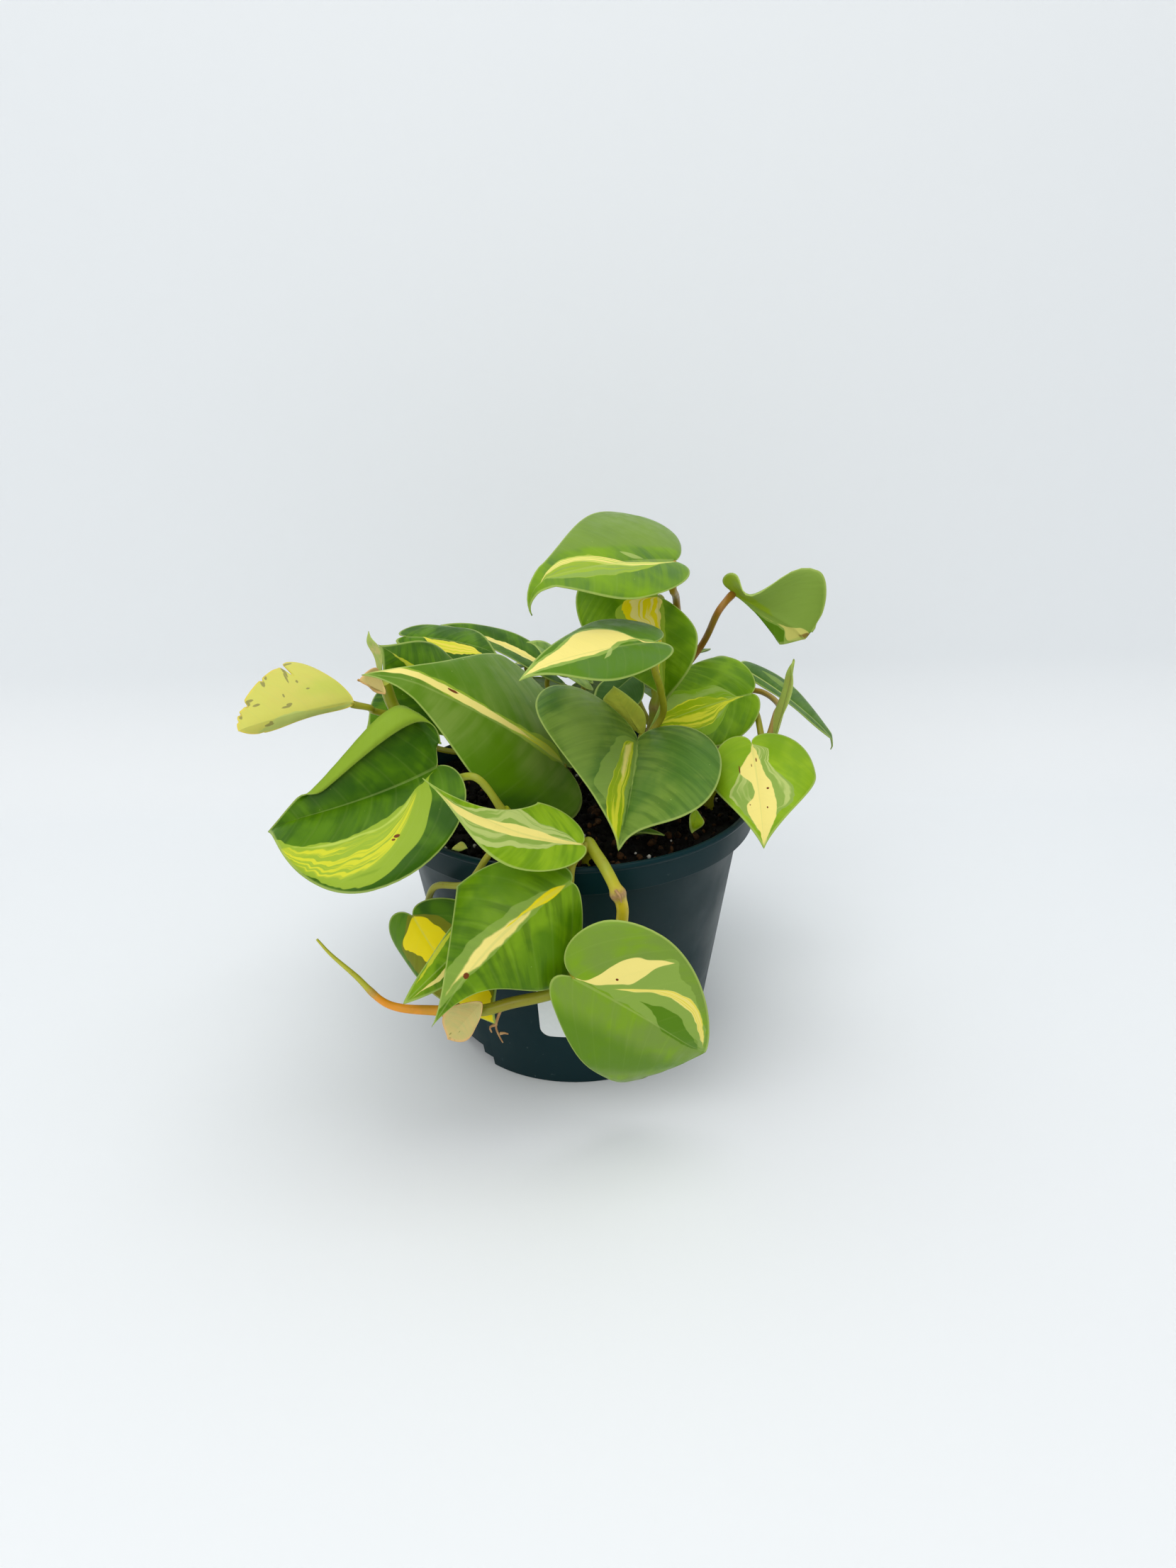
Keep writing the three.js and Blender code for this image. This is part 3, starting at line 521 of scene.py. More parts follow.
def makeSoil():
    points = [(0, 0, soil["floor"])]
    inset = pot["wall"] + 0.4
    ledge = pot["height"] - pot["bandHeight"] + pot["wall"] + 0.3
    walls = [
        (wallAt(soil["floor"]) - inset, soil["floor"]),
        (pot["shoulderRadius"] - inset, ledge),
        (pot["bandFootRadius"] - inset, ledge),
        (pot["bandFootRadius"] - inset, soil["edgeHeight"]),
    ]
    sectors, rings = soil["sectors"], soil["rings"]
    for radius, height in walls:
        for j in range(sectors):
            angle = 2 * math.pi * j / sectors
            points.append((radius * math.cos(angle), radius * math.sin(angle), height))
    for i in range(rings - 1, 0, -1):
        share = i / rings
        for j in range(sectors):
            angle = 2 * math.pi * j / sectors
            radius = share * (pot["bandFootRadius"] - inset)
            spot = Vector((radius * math.cos(angle), radius * math.sin(angle), 0))
            rough = noise.turbulence(spot * 0.22, 4, False) - 0.8
            fine = noise.noise(spot * 0.9)
            lift = (soil["clods"] * rough + soil["grain"] * fine) * min(1, 6 * (1 - share))
            points.append((spot.x, spot.y, soilTop(share, angle) + lift))
    points.append((0, 0, soilTop(0, 0)))
    faces = []
    for j in range(sectors):
        following = (j + 1) % sectors
        faces.append((0, 1 + following, 1 + j))
        for i in range(len(walls) + rings - 2):
            low, high = 1 + i * sectors, 1 + (i + 1) * sectors
            faces.append((low + j, low + following, high + following, high + j))
        final = 1 + (len(walls) + rings - 2) * sectors
        faces.append((final + j, final + following, len(points) - 1))
    material = soilFinish("dampPeat", paint(3, 3, 2), paint(26, 20, 14), 260.0, 0.98)
    piece = linkMesh("pottingSoil", points, faces, material)
    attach(piece, "root")
    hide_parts("soil")


grits = {
    "bark": {"density": 42000.0, "size": (0.5, 1.7), "flat": 0.5, "seed": 3,
             "colours": ((14, 9, 5), (92, 62, 34)), "roughness": 0.95},
    "peatCrumbs": {"density": 150000.0, "size": (0.35, 1.2), "flat": 0.8, "seed": 8,
                   "colours": ((2, 2, 1), (20, 15, 10)), "roughness": 1.0},
    "perlite": {"density": 7000.0, "size": (0.2, 0.7), "flat": 0.85, "seed": 21,
                "colours": ((150, 146, 134), (214, 210, 200)), "roughness": 0.85},
}


def scatterGrit(name, grit):
    # small stones and crumbs over the soil, one node tree each
    rings, sectors = bed["rings"], bed["sectors"]
    points = []
    for i in range(rings + 1):
        radius = i / rings * bed["radius"]
        for j in range(sectors):
            angle = 2 * math.pi * j / sectors
            height = soilTop(radius / soil["radius"], angle)
            points.append((radius * math.cos(angle), radius * math.sin(angle), height))
    faces = []
    for i in range(rings):
        for j in range(sectors):
            a, b = i * sectors + j, i * sectors + (j + 1) % sectors
            faces.append((a, a + sectors, b + sectors, b))
    mesh = bpy.data.meshes.new("bed")
    mesh.from_pydata([Vector(point) * mm for point in points], [], faces)
    carrier = bpy.data.objects.new("bed", mesh)
    bpy.context.scene.collection.objects.link(carrier)
    tree = Tree(name + "Scatter", {
        "Density": grit["density"], "Smallest": grit["size"][0] * mm, "Largest": grit["size"][1] * mm,
        "Flatness": grit["flat"], "Seed": grit["seed"],
    })
    spots = tree.add("GeometryNodeDistributePointsOnFaces", {
        "Mesh": tree.source, "Density": tree.input("Density"), "Seed": tree.input("Seed")})
    stone = tree.geometry("MeshIcoSphere", {"Radius": 1.0, "Subdivisions": 2})
    where = tree.add("GeometryNodeInputPosition").outputs[0]
    lumps = tree.add("ShaderNodeTexNoise", {"Vector": where, "Scale": 1.7, "Detail": 1.0}).outputs["Fac"]
    swell = tree.math("MULTIPLY", tree.math("SUBTRACT", lumps, 0.5), 0.9)
    outward = tree.add("ShaderNodeVectorMath", {0: where, "Scale": swell}, operation="SCALE").outputs[0]
    stone = tree.geometry("SetPosition", {"Geometry": stone, "Offset": outward})
    flat = tree.vector(1.0, 0.8, tree.input("Flatness"))
    stone = tree.geometry("Transform", {"Geometry": stone, "Scale": flat})
    size = tree.random(tree.input("Smallest"), tree.input("Largest"), tree.input("Seed"))
    lean = tree.random((0.0, 0.0, 0.0), (6.28, 6.28, 6.28), tree.input("Seed"))
    placed = tree.geometry("InstanceOnPoints", {
        "Points": spots.outputs[0], "Instance": stone, "Rotation": lean, "Scale": size})
    dark, pale = grit["colours"]
    tree.finish(placed, soilFinish(name + "Grit", paint(*dark), paint(*pale), 500.0, grit["roughness"]))
    piece = tree.run(carrier, name)
    shadeByAngle(piece, 60)
    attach(piece, "root")


makeSoil()
for gritName, gritLook in grits.items():
    scatterGrit(gritName, gritLook)
print("soil")


# vines: each stands in the soil at its foot, rings are the corky nodes, by place along it and swelling
vines = {
    "stem_front": {
        "radius": 1.5, "taper": 0.3, "foot": (3, -41),
        "rings": [(0.287, 0.42), (0.724, 0.2), (0.865, 0.12)],
        "path": [
            (3.5, -45, 79.5), (5, -50.5, 79.4), (7, -55, 78), (9.3, -57.5, 74), (11.2, -58, 68.6),
            (11.2, -58, 64.7), (9.8, -58, 56.7), (5, -58.5, 50), (-6, -59, 44.6), (-17, -60, 42.6),
            (-24, -60, 40.7), (-36, -60, 41), (-47.6, -60, 43.2), (-55.2, -60, 52.1), (-60.6, -60, 58.4),
            (-63.3, -60, 62.5),
        ],
    },
    "stem_front_left": {
        "radius": 1.9, "foot": (-12, -37), "path": [(-14, -38, 80), (-18, -39, 86)],
        "rings": [(0.85, 0.15)],
    },
    "stem_left": {
        "radius": 1.7, "foot": (-34, -14),
        "path": [(-37, -12, 84), (-43, -9, 95), (-48, -9, 104), (-49.5, -11.5, 112)],
        "rings": [(0.6, 0.15), (0.8, 0.2)],
    },
    "stem_middle_left": {
        "radius": 1.8, "foot": (-8, -4), "path": [(-8, -2, 82), (-10, 1, 88)], "rings": [(0.85, 0.15)],
    },
    "stem_centre": {
        "radius": 1.9, "foot": (14, -8), "path": [(15, -7, 81), (17, -4, 88)], "rings": [(0.82, 0.15)],
    },
    "stem_tall": {
        "radius": 1.9, "foot": (22, 12), "path": [(24, 15, 86), (26, 18, 98)],
        "rings": [(0.7, 0.15), (0.87, 0.15)],
    },
    "stem_right": {
        "radius": 1.9, "foot": (38, -8), "path": [(43, -7, 81), (51, -4, 85), (56, -2, 89)],
        "rings": [(0.6, 0.15), (0.92, 0.15)],
    },
    "stem_far_right": {
        "radius": 1.7, "foot": (32, 26), "path": [(36, 32, 81), (44, 36, 88)], "rings": [(0.85, 0.15)],
    },
    "stem_back": {
        "radius": 1.8, "foot": (4, 30), "path": [(4, 32, 82), (6, 36, 90)], "rings": [(0.88, 0.15)],
    },
    "stem_back_left": {
        "radius": 1.8, "foot": (-26, 18), "path": [(-28, 20, 82), (-30, 24, 90)], "rings": [(0.88, 0.15)],
    },
}
vineDetail = {
    "step": 0.8, "sides": 16, "holeFloor": 58.3, "upright": (64, 70, 75.5), "bladeGap": 0.65, "approach": 6,
    "touchGap": 0.12, "touchAhead": 0.4, "nodeReach": 1.3, "corkiness": 4, "tipSize": 0.2, "slimness": 0.88,
    "flare": 0.2, "bladeFlare": 3, "vineFlare": 4, "seatSize": 0.6, "seatReach": 2.5,
}


class Path:
    # a smooth curve through points, with even steps along its length
    fineness = 400

    def __init__(self, points):
        self.points = [Vector(point) for point in points]
        self.samples = [self.at(i / self.fineness) for i in range(self.fineness + 1)]
        self.lengths = [0.0]
        for i in range(self.fineness):
            self.lengths.append(self.lengths[-1] + (self.samples[i + 1] - self.samples[i]).length)
        self.length = self.lengths[-1]

    def at(self, share):
        points = self.points
        last = len(points) - 1
        spot = last * share
        i = min(int(spot), last - 1)
        weight = spot - i
        b, c = points[i], points[i + 1]
        a = points[i - 1] if i > 0 else 2 * b - c
        d = points[i + 2] if i + 2 <= last else 2 * c - b
        ab, bc, cd = [max(1e-4, (q - p).length ** 0.5) for p, q in ((a, b), (b, c), (c, d))]
        leave = ((b - a) / ab - (c - a) / (ab + bc) + (c - b) / bc) * bc
        reach = ((c - b) / bc - (d - b) / (bc + cd) + (d - c) / cd) * bc
        bend = 3 * (c - b) - 2 * leave - reach
        twist = 2 * (b - c) + leave + reach
        return b + leave * weight + bend * weight * weight + twist * weight ** 3

    def even(self, share):
        goal = share * self.length
        low, high = 0, self.fineness
        while high - low > 1:
            middle = (low + high) // 2
            if self.lengths[middle] <= goal:
                low = middle
            else:
                high = middle
        span = max(1e-9, self.lengths[high] - self.lengths[low])
        return self.at((low + (goal - self.lengths[low]) / span) / self.fineness)


def vinePath(vine):
    upright = [(*vine["foot"], height) for height in (vineDetail["holeFloor"], *vineDetail["upright"])]
    return Path(upright + vine["path"])


# notches are tears in a half's margin: share along it, depth and width; stalkTone runs from lime to brown
leaves = {
    "leaf_top": {
        "base": (28, -4, 141), "tip": (-9, -26, 133), "left": (17.5, -24.5, 136.3),
        "right": (16, 16, 150.3), "vine": "stem_tall", "node": 0.96, "via": [(32, 24, 111), (31, 20, 124)],
        "stalk": 1.2, "curl": (30, 30), "full": (0.35, 0.4), "neck": (0.4, 0.35), "point": 0.03,
        "droop": 22, "tipCurl": 115, "hookFrom": 0.75, "lobe": 0.16, "stalkTone": 0.8,
    },
    "leaf_upper_middle": {
        "base": (21, -28, 126), "tip": (-12, -50, 124), "left": (12, -46, 122.7), "right": (9, -18, 129),
        "vine": "stem_centre", "node": 0.96, "via": [(25, -3, 97), (24, -12, 108)], "stalk": 1.1,
        "curl": (30, 30), "full": (0.5, 0.25), "droop": 15, "tipCurl": 20, "lobe": 0.24,
    },
    "leaf_upper_yellow": {
        "base": (25, 10, 128), "tip": (27, 4, 99), "left": (35, 0, 119), "right": (2, 10, 127),
        "vine": "stem_tall", "node": 0.85, "via": [(24, 22, 113)], "stalk": 1, "droop": 30, "tipCurl": 10,
        "lobe": (0, 0.2), "stalkTone": 0.1,
    },
    "leaf_right_high": {
        "base": (45, 5, 130), "tip": (64, -4, 119), "left": (58, 2, 116), "right": (65.5, -8, 138.6),
        "vine": "stem_tall", "node": 0.9, "via": [(38, 20, 110)], "stalk": 1.1, "curl": (20, 20),
        "full": (0.2, 0.6), "flute": {"side": 1, "angle": -54, "at": 0.14, "reach": 0.32}, "droop": 15,
        "tipCurl": 30, "lobe": (-0.25, 0.48), "neck": (0.26, -0.3), "point": (0.06, 0.35), "stalkTone": 1.0,
    },
    "leaf_right_heart": {
        "base": (51, 4, 101), "tip": (21, 4, 90), "left": (43, -4, 89), "right": (40, 18, 107.5),
        "vine": "stem_right", "node": 0.93, "via": [(53, 2, 94)], "stalk": 1, "curl": (25, 25), "droop": 25,
        "tipCurl": 15, "lobe": 0.15,
    },
    "leaf_right_behind": {
        "base": (54, 24, 96), "tip": (35, 28, 88), "left": (44, 22, 81), "right": (45, 38, 102),
        "vine": "stem_far_right", "node": 0.96, "stalk": 1, "arrive": (0.3, -0.7, 0.6), "curl": (25, 25),
        "droop": 25, "tipCurl": 15, "lobe": 0.12,
    },
    "leaf_right_long": {
        "base": (55, 38, 97), "tip": (83, 38, 70), "left": (67, 46, 92), "right": (64, 33, 90),
        "vine": "stem_right", "node": 0.97, "via": [(59, 8, 93), (62, 20, 92), (59, 32, 92)], "stalk": 1,
        "droop": 20, "tipCurl": 60, "hookFrom": 0.85, "lobe": 0.15, "stalkTone": 0.7,
    },
    "leaf_right_low": {
        "base": (49, -12, 92), "tip": (49, -38, 73), "left": (65, -22, 87), "right": (37, -22, 85),
        "vine": "stem_right", "node": 0.95, "stalk": 1, "curl": (30, 30), "full": (0.3, 0.2), "droop": 35,
        "tipCurl": 15, "lobe": 0.25, "stalkTone": 0.8,
    },
    "leaf_centre": {
        "base": (18, -8, 92), "tip": (11, -45, 77), "left": (39, -26, 92), "right": (-9, -20, 109),
        "vine": "stem_centre", "node": 0.85, "stalk": 1.2, "curl": (25, 25), "droop": 30, "tipCurl": 15,
        "lobe": 0.25, "full": (0.95, 0.5), "neck": (0.45, 0.3),
    },
    "leaf_left_big": {
        "base": (-2, -14, 88), "tip": (-51, -34, 121), "left": (-16, -33, 82), "right": (-18, 4, 113),
        "vine": "stem_middle_left", "node": 0.96, "stalk": 1.3, "curl": (10, 20), "droop": 20,
        "tipCurl": 40, "lobe": (0.19, 0.3), "lobeDrop": -50, "full": (0.35, 0.2), "neck": (0.45, 0.4),
    },
    "leaf_left_arch": {
        "base": (-34, -38, 98), "tip": (-74, -52, 88), "left": (-46, -72, 82), "right": (-43, -36, 112),
        "vine": "stem_front_left", "node": 0.96, "via": [(-24.5, -39, 95.5)], "stalk": 1.1,
        "curl": (20, 15), "roll": {"side": 1, "turn": 162, "from": 0.67, "to": 0.8}, "full": (0.62, 0.28),
        "droop": 30, "tipCurl": 20, "sway": -40, "lobe": (0.22, 0.06), "neck": (0.28, 0.3),
        "point": (0.08, 0.06), "stalkTone": 0.05,
    },
    "leaf_middle_low": {
        "base": (1.8, -52.6, 82.8), "tip": (-34, -64, 106), "left": (-14, -70, 86), "right": (-9, -48, 92),
        "vine": "stem_front", "node": 0.17, "stalk": 1.1, "curl": (20, 20), "full": (0.4, -0.05),
        "neck": (0.35, 0.5), "point": 0.01, "droop": -12, "tipCurl": 0, "sway": -36, "lobe": 0.08,
    },
    "leaf_front": {
        "base": (-1, -58.4, 75.6), "tip": (-36, -69, 42), "left": (-3.3, -60.5, 49),
        "right": (-29, -56, 74), "vine": "stem_front", "node": 0.17, "stalk": 1.1,
        "arrive": (-0.2, -0.5, -0.8), "full": (0.5, 0), "neck": (0.8, 0.6), "point": 0.03, "droop": 20,
        "tipCurl": 20, "lobe": (0.07, 0.1), "sway": 42,
    },
    "leaf_front_round": {
        "base": (-1, -67, 54), "tip": (32, -62, 28), "left": (20, -68, 66), "right": (7, -61, 19.2),
        "vine": "stem_front", "node": 0.45, "stalk": 1.1, "full": (0.33, 0.9), "droop": 30, "tipCurl": 15,
        "sway": -30, "lobe": (0.22, 0.34), "neck": (0.26, -0.55), "point": (0.16, 0.55),
    },
    "leaf_left_low": {
        "base": (-42, -44, 59), "tip": (-21, -56, 33), "left": (-22, -51, 61), "right": (-46.8, -42, 46.6),
        "vine": "stem_front_left", "node": 0.6, "via": [(-20, -49, 80), (-27, -49, 71), (-36, -43, 67)],
        "stalk": 1, "droop": 20, "tipCurl": 15, "lobe": 0.15,
    },
    "leaf_left_tucked": {
        "base": (-20, -55, 65), "tip": (-43, -64, 46), "left": (-28, -59, 51), "right": (-30, -53, 62),
        "vine": "stem_front_left", "node": 0.75, "via": [(-17, -52, 80)], "stalk": 0.9, "full": (0.3, 0.3),
        "droop": 20, "tipCurl": 15, "lobe": 0.05,
    },
    "leaf_far_left": {
        "base": (-57, -18, 109), "tip": (-83, -34, 107.3), "left": (-69, -26, 107),
        "right": (-74, -14, 119), "vine": "stem_left", "node": 0.8, "via": [(-53, -14, 105)], "stalk": 1,
        "arrive": (-0.9, -0.3, 0.3), "curl": (30, 30), "full": (0.5, 0.05), "point": (0.17, 0.25),
        "droop": 20, "tipCurl": 10, "lobe": (0.05, 0.02), "neck": (0.26, 0), "rows": 170, "stalkTone": 0.2,
        "notches": {
            1: [
                (0.512, 0.28, 0.013), (0.545, 0.03, 0.03), (0.68, 0.06, 0.007), (0.83, 0.16, 0.01),
                (0.85, 0.1, 0.02), (0.89, 0.12, 0.008), (0.935, 0.14, 0.01), (0.22, 0.07, 0.07),
            ],
            0: [
                (0.75, 0.08, 0.02),
            ],
        },
    },
    "leaf_back_heart": {
        "base": (-49, 32, 112), "tip": (-21, 26, 107), "left": (-33, 38, 113), "right": (-34, 22, 107),
        "vine": "stem_back_left", "node": 0.9, "stalk": 0.9, "droop": 25, "tipCurl": 15,
    },
    "leaf_left_inner": {
        "base": (-29, 6, 96), "tip": (-53, 4, 118), "left": (-49, 2, 98), "right": (-36, 16, 112),
        "vine": "stem_middle_left", "node": 0.9, "stalk": 1, "droop": 20, "tipCurl": 15,
    },
    "leaf_left_under": {
        "base": (-42, 14, 101), "tip": (-59, 8, 92), "left": (-47, 2, 90), "right": (-56, 18, 100),
        "vine": "stem_back_left", "node": 0.96, "stalk": 0.8, "droop": 20, "tipCurl": 15,
    },
    "leaf_back_cream": {
        "base": (-6, 36, 99), "tip": (-40, 44, 112), "left": (-18, 30, 105), "right": (-15, 46, 107),
        "vine": "stem_back", "node": 0.96, "stalk": 0.9, "droop": 20, "tipCurl": 15,
    },
    "leaf_back_grey": {
        "base": (5, 26, 99), "tip": (-13, 30, 110), "left": (-3, 18, 104), "right": (-4, 34, 107),
        "vine": "stem_back", "node": 0.85, "stalk": 0.9, "droop": 15, "tipCurl": 15,
    },
    "leaf_shaded": {
        "base": (19, 21, 102), "tip": (6, 8, 94), "left": (19, 10, 96), "right": (9, 17, 101),
        "vine": "stem_tall", "node": 0.7, "stalk": 0.9, "droop": 20, "tipCurl": 15, "lobe": 0.15,
    },
    "leaf_young": {
        "base": (20, 0, 91), "tip": (12, 2, 105), "left": (20, -2, 99), "right": (9, 6, 99),
        "vine": "stem_centre", "node": 0.9, "stalk": 0.8, "curl": (-30, -30), "full": (0.4, 0.4),
        "droop": -15, "tipCurl": 10, "lobe": 0.02,
    },
    "leaf_sprout": {
        "base": (32, -30, 81), "tip": (31, -32, 75), "left": (34, -30, 77), "right": (30, -32, 79),
        "vine": "stem_right", "node": 0.42, "via": [(33, -24, 84)], "stalk": 0.6, "droop": 10,
        "tipCurl": 10, "lobe": 0.05,
    },
    "sheath_peach": {
        "base": (-49, -14.9, 110), "tip": (-55, -18, 115), "left": (-51, -16, 111),
        "right": (-51, -12, 116), "curl": (-60, -60), "full": (0.5, 0.5), "droop": -10, "tipCurl": 0,
        "lobe": 0.05,
    },
    "sheath_slim": {
        "base": (-49.6, -10.6, 113), "tip": (-53, -8, 125), "left": (-50, -11, 121),
        "right": (-53, -8, 120), "curl": (-60, -60), "droop": 10, "tipCurl": 0, "lobe": 0.02,
    },
    "sheath_right": {
        "base": (57.3, -3.2, 89.5), "tip": (63, 4, 111), "left": (61, -2, 102), "right": (59, 3, 100),
        "curl": (-90, -90), "droop": 10, "tipCurl": 0, "lobe": 0.02,
    },
    "sheath_papery": {
        "base": (-24, -63, 45), "tip": (-33, -64, 35), "left": (-27, -64, 36), "right": (-33, -62, 42),
        "curl": (30, -30), "full": (0.7, 0.7), "point": 0.1, "droop": 20, "tipCurl": 0, "lobe": 0.05,
    },
    "leaf_rear_low_right": {
        "base": (28, 48, 88), "tip": (42, 68, 64), "width": 32, "vine": "stem_far_right", "node": 0.8,
        "stalk": 1, "droop": 35, "tipCurl": 20, "lobe": 0.25,
    },
    "leaf_rear_low_middle": {
        "base": (0, 52, 88), "tip": (4, 72, 60), "width": 36, "vine": "stem_back", "node": 0.9, "stalk": 1,
        "droop": 35, "tipCurl": 20, "lobe": 0.25,
    },
    "leaf_rear_low_left": {
        "base": (-30, 40, 94), "tip": (-48, 64, 66), "width": 34, "vine": "stem_back_left", "node": 0.8,
        "stalk": 1, "droop": 35, "tipCurl": 20, "lobe": 0.25,
    },
    "leaf_rear_high_middle": {
        "base": (12, 47, 98), "tip": (8, 70, 85), "width": 30, "vine": "stem_back", "node": 0.95,
        "stalk": 1, "droop": 35, "tipCurl": 20, "lobe": 0.25,
    },
    "leaf_rear_high_left": {
        "base": (-14, 49, 97), "tip": (-26, 70, 84), "width": 28, "vine": "stem_back_left", "node": 0.97,
        "stalk": 1, "droop": 35, "tipCurl": 20, "lobe": 0.25,
    },
    "leaf_rear_high_right": {
        "base": (28, 38, 103), "tip": (36, 60, 92), "width": 28, "vine": "stem_tall", "node": 0.75,
        "stalk": 1, "droop": 35, "tipCurl": 20, "lobe": 0.25,
    },
    "leaf_rear_side_left": {
        "base": (-46, 24, 87), "tip": (-64, 36, 70), "width": 30, "vine": "stem_back_left", "node": 0.6,
        "stalk": 1, "droop": 35, "tipCurl": 20, "lobe": 0.25,
    },
    "leaf_rear_side_right": {
        "base": (52, 40, 71), "tip": (58, 48, 48), "width": 26, "vine": "stem_far_right", "node": 0.88,
        "via": [(45, 35, 80)], "stalk": 1, "droop": 35, "tipCurl": 20, "lobe": 0.25,
    },
}
# share of a half's margin before its widest point, the midrib's share there, and the lobe's bulge
lobeShare = 0.4
midribAtWidest = 0.12
lobeRise, lobePull = 0.05, 0.17
# where the margin comes nearer to the midrib, in shares of the half's width, a roll opens out
rollFades = (0.15, 0.4)
midribFrom, midribSteps = -0.4, 280
blade = {
    "rows": 60, "columns": 16, "crowding": 1.35, "thickness": 0.46, "edgeThickness": 0.26, "edgeZone": 2.5,
    "groove": 0.2, "ridge": 0.45, "ribReach": 0.8, "veins": 7.5, "veinLean": 0.35, "veinBow": 0.9,
    "veinDepth": 0.045, "ripple": 0.35, "rimSwell": 0.08,
}


def bezier(t, a, b, c, d):
    u = 1 - t
    return [u * u * u * a[i] + 3 * u * u * t * b[i] + 3 * u * t * t * c[i] + t * t * t * d[i] for i in (0, 1)]


def basis(along, across):
    x = along.normalized()
    y = (across - x * across.dot(x)).normalized()
    return Matrix((x, y, x.cross(y))).transposed()


def smooth(value, low, high):
    share = min(1.0, max(0.0, (value - low) / (high - low)))
    return share * share * (3 - 2 * share)


def sweepEnd(curl, share, roll=None):
    # where a line of this length ends that starts level, bends down by curl and turns up over the roll's span
    steps = 40 if roll else 10
    x = y = 0.0
    for i in range(steps):
        spot = (i + 0.5) / steps * share
        angle = -curl * spot
        if roll:
            angle += roll["turn"] * smooth(spot, roll["from"], roll["to"])
        x += math.cos(angle) * share / steps
        y += math.sin(angle) * share / steps
    return x, y


